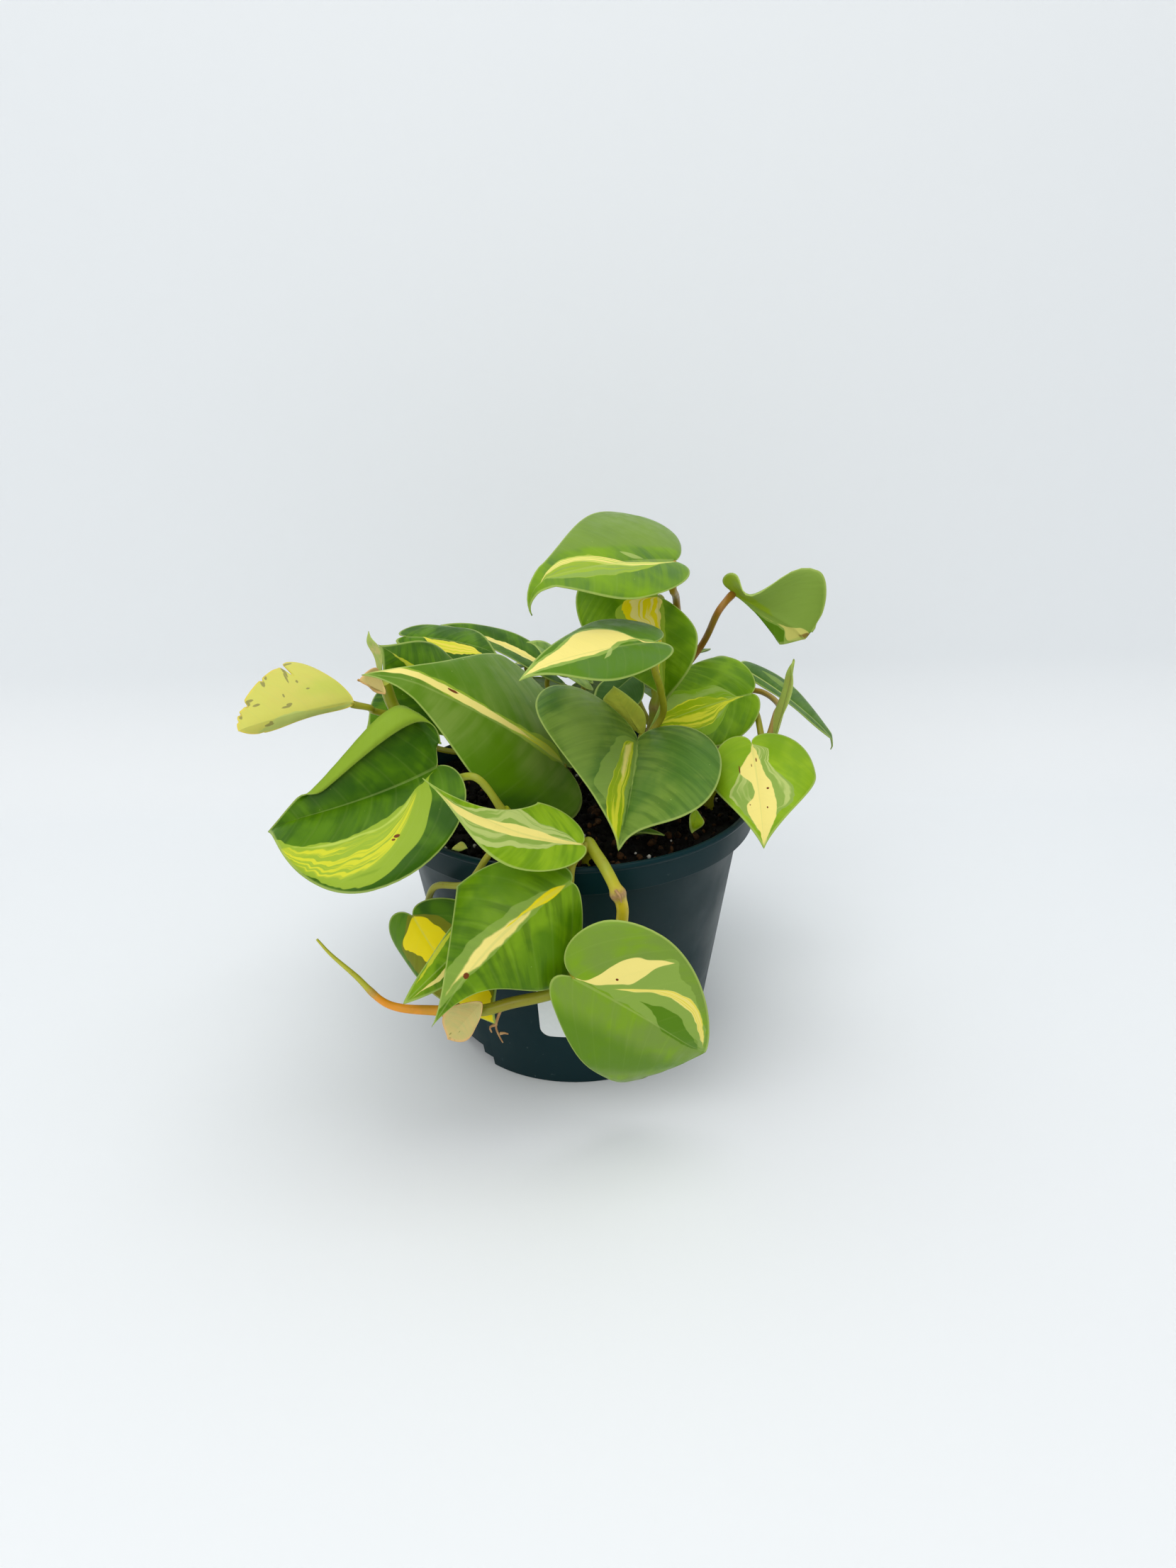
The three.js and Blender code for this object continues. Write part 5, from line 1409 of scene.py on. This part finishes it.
                (0.0, -0.01, 0.03), (0.2, 0.005, 0.1), (0.4, -0.01, 0.12), (0.55, -0.03, 0.12),
                (0.7, -0.01, 0.12), (0.78, 0.03, 0.12), (0.88, 0.08, 0.14)]},
        ],
    },
    "leaf_back_heart": {
        "ground": ("leafMid", "leafDark"),
        "fields": [
            {"ink": "lime", "streaks": "butter", "jag": 0.03, "at": [
                (0.14, 0.02, 0.035), (0.25, -0.08, 0.01), (0.35, -0.15, 0.0), (0.5, -0.185, 0.0),
                (0.62, -0.17, 0.0), (0.72, -0.14, -0.005), (0.8, -0.11, -0.05), (0.88, -0.09, -0.085)]},
        ],
    },
    "leaf_left_inner": {
        "ground": ("leafMid", "leafDark"),
        "fields": [
            {"ink": "lime", "strength": 0.7, "at": [
                (0.1, -0.02, 0.02), (0.5, -0.05, 0.04), (0.9, -0.01, 0.01)]},
        ],
    },
    "leaf_left_under": {"ground": ("leafDark", "leafMid")},
    "leaf_back_cream": {
        "ground": ("leafMid", "leafDark"),
        "fields": [
            {"ink": "cream", "jag": 0.02, "at": [
                (0.0, -0.02, 0.03), (0.3, -0.05, 0.1), (0.6, -0.02, 0.1), (0.85, 0.0, 0.05),
                (1.0, 0.0, 0.0)]},
        ],
    },
    "leaf_back_grey": {"ground": ("leafBlue", "flank")},
    # painted shade: the leaf that sits in shadow behind the middle of the plant gets the two darkest greens
    # as its ground
    "leaf_shaded": {"ground": ("leafDark", "leafBlueDark")},
    "leaf_young": {"ground": ("lime", "limeDeep"), "veins": 0.1, "specks": 0.95, "underInk": "lime"},
    "leaf_sprout": {"ground": ("leafLight", "limeDeep")},
    "sheath_peach": {
        "edgeInk": "peach", "ground": ("peach", "peach"), "veins": 0.1, "underPale": 0.0, "rib": 0.0,
        "specks": 0.95,
    },
    "sheath_slim": {"ground": ("tan", "flank"), "veins": 0.1, "underPale": 0.0, "rib": 0.0, "specks": 0.95},
    "sheath_right": {"ground": ("leafLight", "olive"), "veins": 0.1, "underPale": 0.1, "specks": 0.95},
    "sheath_papery": {
        "ground": ("tan", "peach"), "veins": 0.25, "underPale": 0.0, "rib": 0.0, "specks": 0.95,
        "edgeInk": "peach",
        "scars": [
            (0.95, 0.02, 0.05, 0.03), (0.86, -0.03, 0.04, 0.015), (0.7, 0.06, 0.03, 0.008),
            (0.9, 0.1, 0.02, 0.02),
        ],
    },
}
rearLook = {
    "fields": [
        {"ink": "flank", "jag": 0.03, "at": [
            (0.0, -0.02, 0.02), (0.15, -0.06, 0.08), (0.35, -0.12, 0.1), (0.55, -0.1, 0.14),
            (0.75, -0.06, 0.08), (1.0, 0.0, 0.0)]},
        {"ink": "butter", "jag": 0.02, "at": [
            (0.0, -0.01, 0.01), (0.15, -0.03, 0.04), (0.35, -0.05, 0.05), (0.55, -0.03, 0.08),
            (0.75, -0.02, 0.05), (1.0, 0.0, 0.0)]},
    ],
}


inks = {
    "leafDark": paint(46, 88, 0), "leafMid": paint(86, 130, 0), "leafBlue": paint(86, 126, 44),
    "leafBlueDark": paint(60, 100, 30), "leafLight": paint(124, 164, 16), "leafLime": paint(146, 182, 24),
    "leafGrey": paint(120, 150, 58), "flank": paint(142, 172, 72), "flankPale": paint(184, 200, 112),
    "flankLime": paint(156, 184, 50), "cream": paint(246, 230, 132), "creamLime": paint(192, 210, 88),
    "lime": paint(212, 214, 48), "limeDeep": paint(148, 176, 4), "yellow": paint(240, 220, 0),
    "butter": paint(236, 220, 82), "straw": paint(238, 214, 84), "rust": paint(116, 58, 18),
    "edge": paint(178, 198, 104), "tan": paint(212, 178, 124), "peach": paint(236, 182, 124),
    "olive": paint(140, 132, 14), "roll": paint(142, 172, 46), "stalkLime": paint(156, 166, 30),
    "stalkBrown": paint(156, 106, 36), "orange": paint(232, 150, 24), "shoot": paint(186, 186, 50),
    "yellowVine": paint(222, 200, 34),
}
# the part of the flat frame that the fields' curves cover
fieldBox = {"low": -0.25, "length": 1.25, "halfWidth": 0.65}


def fieldMask(finish, field, x, y, vein, seed):
    # the field's low edge, high edge and mask, its edges ragged along the side veins
    low, length, half = fieldBox["low"], fieldBox["length"], fieldBox["halfWidth"]
    reach = finish.ramp(x, low, low + length, smooth=False)
    edges = []
    for way in (1, 2):
        points = [((row[0] - low) / length, (row[way] + half) / (2 * half)) for row in field["at"]]
        value = finish.math("SUBTRACT", finish.math("MULTIPLY", finish.curve(reach, points), 2 * half), half)
        jag = finish.math("MULTIPLY", finish.line(vein, seed + 11 * way, 13.0), field.get("jag", 0.02))
        edges.append(finish.math("ADD" if way == 1 else "SUBTRACT", value, jag))
    lowEdge, highEdge = edges
    soft = field.get("soft", 0.006)
    above = finish.ramp(finish.math("SUBTRACT", y, lowEdge), 0.0, soft)
    below = finish.ramp(finish.math("SUBTRACT", highEdge, y), 0.0, soft)
    return lowEdge, highEdge, finish.math("MULTIPLY", above, below)


skin = {
    "specular": 0.14, "roughness": (0.32, 0.48), "streaks": 0.5, "veins": 0.035, "rib": 0.25, "specks": 0.79,
    "speckStrength": 0.5, "edge": 0.65, "underPale": 0.35, "bump": 0.00018,
}


def bladeFinish(name, look):
    ground = look.get("ground", ("leafMid", "leafDark"))
    finish = Finish(name, specular=skin["specular"])
    parts = finish.add("SeparateXYZ", {0: finish.attribute("blade", "Vector")})
    x, y, under = parts.outputs
    side = finish.math("ABSOLUTE", y)
    bow = finish.math("MULTIPLY_ADD", side, blade["veinBow"])
    bow.node.inputs[2].default_value = blade["veinLean"]
    vein = finish.math("SUBTRACT", x, finish.math("MULTIPLY", side, bow))
    seed = sum(ord(letter) for letter in name) % 40
    flat = finish.vector(x, y, float(seed))
    acrossVeins = finish.math("MULTIPLY", vein, 16.0)
    alongVein = finish.vector(acrossVeins, finish.math("MULTIPLY", side, 2.5), float(seed))
    cloud = finish.ramp(finish.noise(flat, 3.2, 3.0, 0.5, 0.6), 0.34, 0.66)
    colour = finish.mix(cloud, inks[ground[0]], inks[ground[1]])
    streak = finish.ramp(finish.noise(alongVein, 1.0, 3.0), 0.42, 0.62)
    streakShare = finish.math("MULTIPLY", streak, skin["streaks"])
    colour = finish.mix(streakShare, colour, inks[look.get("streak", ground[-1])])
    for number, field in enumerate(look.get("fields", ())):
        lowEdge, highEdge, mask = fieldMask(finish, field, x, y, vein, seed + 3.7 * number)
        ink = inks[field["ink"]]
        if "streaks" in field:
            width = finish.math("MAXIMUM", finish.math("SUBTRACT", highEdge, lowEdge), 0.02)
            share = finish.math("DIVIDE", finish.math("SUBTRACT", y, lowEdge), width)
            ahead = finish.math("MULTIPLY", x, 1.2)
            flow = finish.vector(ahead, finish.math("MULTIPLY", share, 5.0), float(seed + number))
            band = finish.ramp(finish.noise(flow, 1.6, 2.0), 0.44, 0.56)
            ink = finish.mix(band, ink, inks[field["streaks"]])
        colour = finish.mix(finish.math("MULTIPLY", mask, field.get("strength", 1.0)), colour, ink)
    # fine side veins and the midrib, a little paler
    comb = finish.math("COSINE", finish.math("MULTIPLY", vein, 2 * math.pi * blade["veins"]))
    veins = finish.math("MULTIPLY", finish.ramp(comb, 0.93, 1.0), look.get("veins", skin["veins"]))
    colour = finish.mix(veins, colour, inks["flankPale"])
    ribWidth = finish.ramp(x, 0.0, 1.0, 0.013, 0.004, smooth=False)
    rib = finish.ramp(finish.math("SUBTRACT", side, ribWidth), 0.0, -0.006)
    rib = finish.math("MULTIPLY", rib, finish.math("GREATER_THAN", x, 0.0))
    ribInk = inks[look.get("ribInk", "flankPale")]
    colour = finish.mix(finish.math("MULTIPLY", rib, look.get("rib", skin["rib"])), colour, ribInk)
    for spotX, spotY, long, wide in look.get("scars", ()):
        dx = finish.math("DIVIDE", finish.math("SUBTRACT", x, spotX), long)
        dy = finish.math("DIVIDE", finish.math("SUBTRACT", y, spotY), wide)
        away = finish.math("ADD", finish.math("MULTIPLY", dx, dx), finish.math("MULTIPLY", dy, dy))
        ragged = finish.math("ADD", away, finish.math("MULTIPLY", finish.noise(flat, 70.0, 2.0), 0.8))
        colour = finish.mix(finish.ramp(ragged, 1.3, 0.9), colour, inks["rust"])
    specks = finish.ramp(finish.noise(flat, 46.0, 1.0, 0.4), look.get("specks", skin["specks"]), 0.83)
    colour = finish.mix(finish.math("MULTIPLY", specks, skin["speckStrength"]), colour, inks["flankPale"])
    rim = finish.ramp(finish.attribute("margin"), 0.55, 0.15)
    rimShare = finish.math("MULTIPLY", rim, skin["edge"])
    colour = finish.mix(rimShare, colour, inks[look.get("edgeInk", "edge")])
    underShare = finish.math("MULTIPLY", under, look.get("underPale", skin["underPale"]))
    colour = finish.mix(underShare, colour, inks[look.get("underInk", "flank")])
    finish.colour(colour)
    gloss = finish.ramp(finish.noise(flat, 14.0, 4.0), 0.3, 0.7, *skin["roughness"])
    finish.roughness(finish.math("ADD", gloss, finish.math("MULTIPLY", under, 0.15)))
    pores = finish.math("MULTIPLY", finish.noise(flat, 260.0, 2.0), 0.25)
    ridges = finish.math("ADD", finish.math("MULTIPLY", comb, 0.25), finish.noise(alongVein, 2.2, 3.0))
    finish.bump(finish.math("ADD", pores, ridges), skin["bump"], 0.35)
    return finish.material


def pieceName(node):
    # leaf_left_big becomes leafLeftBig
    first, *others = node.split("_")
    return first + "".join(part.title() for part in others)


def makeLeaves():
    shapes = {}
    for name, leaf in leaves.items():
        look = rearLook if "rear" in name else looks[name]
        material = bladeFinish(pieceName(name) + "Skin", look)
        shapes[name] = Blade(leaf)
        piece = makeBlade(pieceName(name), shapes[name], material)
        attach(piece, "root")
        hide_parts(name)
    return shapes


shapes = makeLeaves()
print("leaves", len(shapes))


def stalkPath(leaf, shape, path):
    directions = shape.matrix.normalized()
    normal = (directions @ up).normalized()
    forward = (directions @ Vector((1, 0, 0))).normalized()
    usual = normal * 0.75 + forward * 0.3 + up * 0.3
    arrival = Vector(leaf["arrive"]).normalized() if "arrive" in leaf else usual.normalized()
    depth = vineDetail["bladeGap"] + leaf["stalk"] * math.sin(arrival.angle(normal))
    seat = Vector(leaf["base"]) - normal * depth
    start = path.even(leaf["node"])
    approach = seat - arrival * min(vineDetail["approach"], (seat - start).length / 3)
    touch = Vector(leaf["base"]) - normal * vineDetail["touchGap"] + forward * vineDetail["touchAhead"]
    return Path([start, *leaf.get("via", ()), approach, seat.lerp(touch, 0.35), touch])


def vineFinish(name, tints):
    finish = Finish(name, specular=0.45)
    along = finish.attribute("along")
    stalk = finish.attribute("stalk")
    tone = finish.attribute("tone")
    ring = finish.attribute("ring")
    ramp = finish.add("ValToRGB", {"Fac": along})
    band = ramp.color_ramp
    band.elements[0].position, band.elements[0].color = tints[0][0], inks[tints[0][1]]
    band.elements[1].position, band.elements[1].color = tints[-1][0], inks[tints[-1][1]]
    for spot, ink in tints[1:-1]:
        band.elements.new(spot).color = inks[ink]
    stalkColour = finish.mix(tone, inks["stalkLime"], inks["stalkBrown"])
    colour = finish.mix(stalk, ramp.outputs["Color"], stalkColour)
    place = finish.place()
    cloud = finish.noise(place, 140.0, 3.0)
    colour = finish.mix(finish.math("MULTIPLY", finish.ramp(cloud, 0.4, 0.7), 0.35), colour, inks["olive"])
    flecks = finish.ramp(finish.noise(place, 900.0, 2.0), 0.68, 0.74)
    colour = finish.mix(finish.math("MULTIPLY", flecks, 0.35), colour, inks["rust"])
    cork = finish.mix(finish.noise(place, 1500.0, 3.0), inks["rust"], inks["tan"])
    colour = finish.mix(ring, colour, cork)
    finish.colour(colour)
    finish.roughness(finish.ramp(cloud, 0.3, 0.7, 0.36, 0.55))
    finish.bump(finish.noise(place, 1100.0, 3.0), 0.00012, 0.4)
    return finish.material


vineTints = {
    "stem_front": [
        (0.0, "olive"), (0.24, "stalkLime"), (0.3, "yellowVine"), (0.41, "yellowVine"), (0.5, "stalkLime"),
        (0.62, "olive"), (0.7, "stalkLime"), (0.73, "orange"), (0.85, "orange"), (0.88, "shoot"),
        (1.0, "shoot"),
    ],
}


def strandSize(path, share, radius, taper, rings, isStalk):
    # the radius at a share of the strand's length, and how corky it is there
    size = radius
    cork = 0.0
    for spot, swelling in rings:
        near = math.exp(-((share - spot) * path.length / vineDetail["nodeReach"]) ** 2)
        size *= 1 + swelling * near
        cork = max(cork, near * min(1, vineDetail["corkiness"] * swelling))
    if taper:
        size *= min(1, vineDetail["tipSize"] + (1 - vineDetail["tipSize"]) * (1 - share) / taper)
    if isStalk:
        atBlade = math.exp(-((1 - share) * path.length / vineDetail["bladeFlare"]) ** 2)
        atVine = math.exp(-(share * path.length / vineDetail["vineFlare"]) ** 2)
        size *= vineDetail["slimness"] + vineDetail["flare"] * (atBlade + atVine)
        size *= min(1, vineDetail["seatSize"] + (1 - share) * path.length / vineDetail["seatReach"])
    return size, cork


def makeTubes(name, points, edges, attributes, sides, material):
    # tubes along the edges, as thick as the points' radius attribute says
    carrier = carrierOf(points, edges, attributes)
    tree = Tree(name + "Tubes", {"Sides": sides})
    curves = tree.geometry("MeshToCurve", {"Mesh": tree.source})
    outline = tree.geometry("CurvePrimitiveCircle", {"Resolution": tree.input("Sides"), "Radius": 1.0})
    tubes = tree.geometry("CurveToMesh", {
        "Curve": curves, "Profile Curve": outline, "Scale": tree.named("radius"), "Fill Caps": True})
    tree.finish(tubes, material)
    piece = tree.run(carrier, name)
    shadeByAngle(piece, 60)
    return piece


def makeVines():
    for name, vine in vines.items():
        path = vinePath(vine)
        strands = [(path, vine["radius"], vine.get("taper", 0), vine["rings"], 0.0, 0.3)]
        for leafName, leaf in leaves.items():
            if leaf.get("vine") == name:
                stalk = stalkPath(leaf, shapes[leafName], path)
                strands.append((stalk, leaf["stalk"], 0, (), 1.0, leaf.get("stalkTone", 0.25)))
        points, edges = [], []
        values = {key: [] for key in ("radius", "along", "stalk", "tone", "ring")}
        for strand, radius, taper, rings, isStalk, tone in strands:
            steps = max(8, round(strand.length / vineDetail["step"]))
            for i in range(steps + 1):
                share = i / steps
                size, cork = strandSize(strand, share, radius, taper, rings, isStalk)
                if i:
                    edges.append((len(points) - 1, len(points)))
                points.append(strand.even(share))
                for key, value in zip(values, (size * mm, share, isStalk, tone, cork)):
                    values[key].append(value)
        material = vineFinish(name + "Skin", vineTints.get(name, [(0.0, "olive"), (1.0, "stalkLime")]))
        piece = makeTubes(pieceName(name), points, edges, values, vineDetail["sides"], material)
        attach(piece, "root")
        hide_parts(name)


makeVines()
print("vines")


# aerial roots on the hanging vine
rootlets = {
    "sides": 8, "radius": 0.42, "taper": 0.6, "step": 0.6,
    "paths": [
        [(-19.5, -60.6, 41.2), (-20.6, -61.2, 38.2), (-20.9, -61.4, 36.4), (-20, -61.6, 33.4),
         (-19.4, -61.4, 31.8)],
        [(-20.8, -61.3, 37.2), (-22.4, -61.6, 36.6), (-22, -61.8, 35.2)],
        [(-19.9, -61.5, 34.6), (-18.8, -61.8, 34.9), (-17.9, -61.7, 34.5)],
        [(-3.6, -60.4, 44.4), (-4.6, -61.6, 42), (-3.4, -62.2, 40.2), (-2.9, -62.2, 39)],
        [(9.6, -59.4, 73.6), (10.6, -60.8, 72.6), (10.9, -61.2, 71.2)],
    ],
}


def makeRootlets():
    points, edges, radii = [], [], []
    for way in rootlets["paths"]:
        strand = Path(way)
        steps = max(6, round(strand.length / rootlets["step"]))
        for i in range(steps + 1):
            share = i / steps
            if i:
                edges.append((len(points) - 1, len(points)))
            points.append(strand.even(share))
            radii.append(rootlets["radius"] * (1 - rootlets["taper"] * share) * mm)
    finish = Finish("rootletSkin", 0.7, 0.2)
    place = finish.place()
    finish.colour(finish.mix(finish.noise(place, 700.0, 3.0), inks["rust"], inks["tan"]))
    finish.bump(finish.noise(place, 2200.0, 3.0), 0.0001, 0.5)
    piece = makeTubes("rootlets", points, edges, {"radius": radii}, rootlets["sides"], finish.material)
    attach(piece, "root")


# a slim curved leaf that lies on the soil in front, and a yellowed scrap beside the pot's left rim
fallen = {
    "soilLeaf": {
        "base": (13.5, -31.5, 74.6), "tip": (23.5, -34.5, 75.8), "left": (18, -29.5, 75.2),
        "right": (17, -34.5, 76.4), "curl": (40, 40), "droop": 30, "tipCurl": 20, "lobe": 0.05, "full": 0.5,
        "rows": 24, "look": {"ground": ("leafGrey", "leafMid")},
    },
    "yellowScrap": {
        "base": (-32, -35.5, 74.4), "tip": (-27.5, -38.5, 75.4), "left": (-29, -35.2, 75.4),
        "right": (-30.5, -38.4, 74.8), "curl": (30, 30), "droop": 20, "tipCurl": 20, "lobe": 0.05,
        "full": 0.5, "rows": 20,
        "look": {"ground": ("yellow", "butter"), "veins": 0.1, "underPale": 0.0, "specks": 0.95},
    },
}


def makeFallenLeaves():
    for name, leaf in fallen.items():
        piece = makeBlade(name, Blade(leaf), bladeFinish(name + "Skin", leaf["look"]))
        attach(piece, "root")


makeRootlets()
makeFallenLeaves()
print("rootlets and fallen leaves")
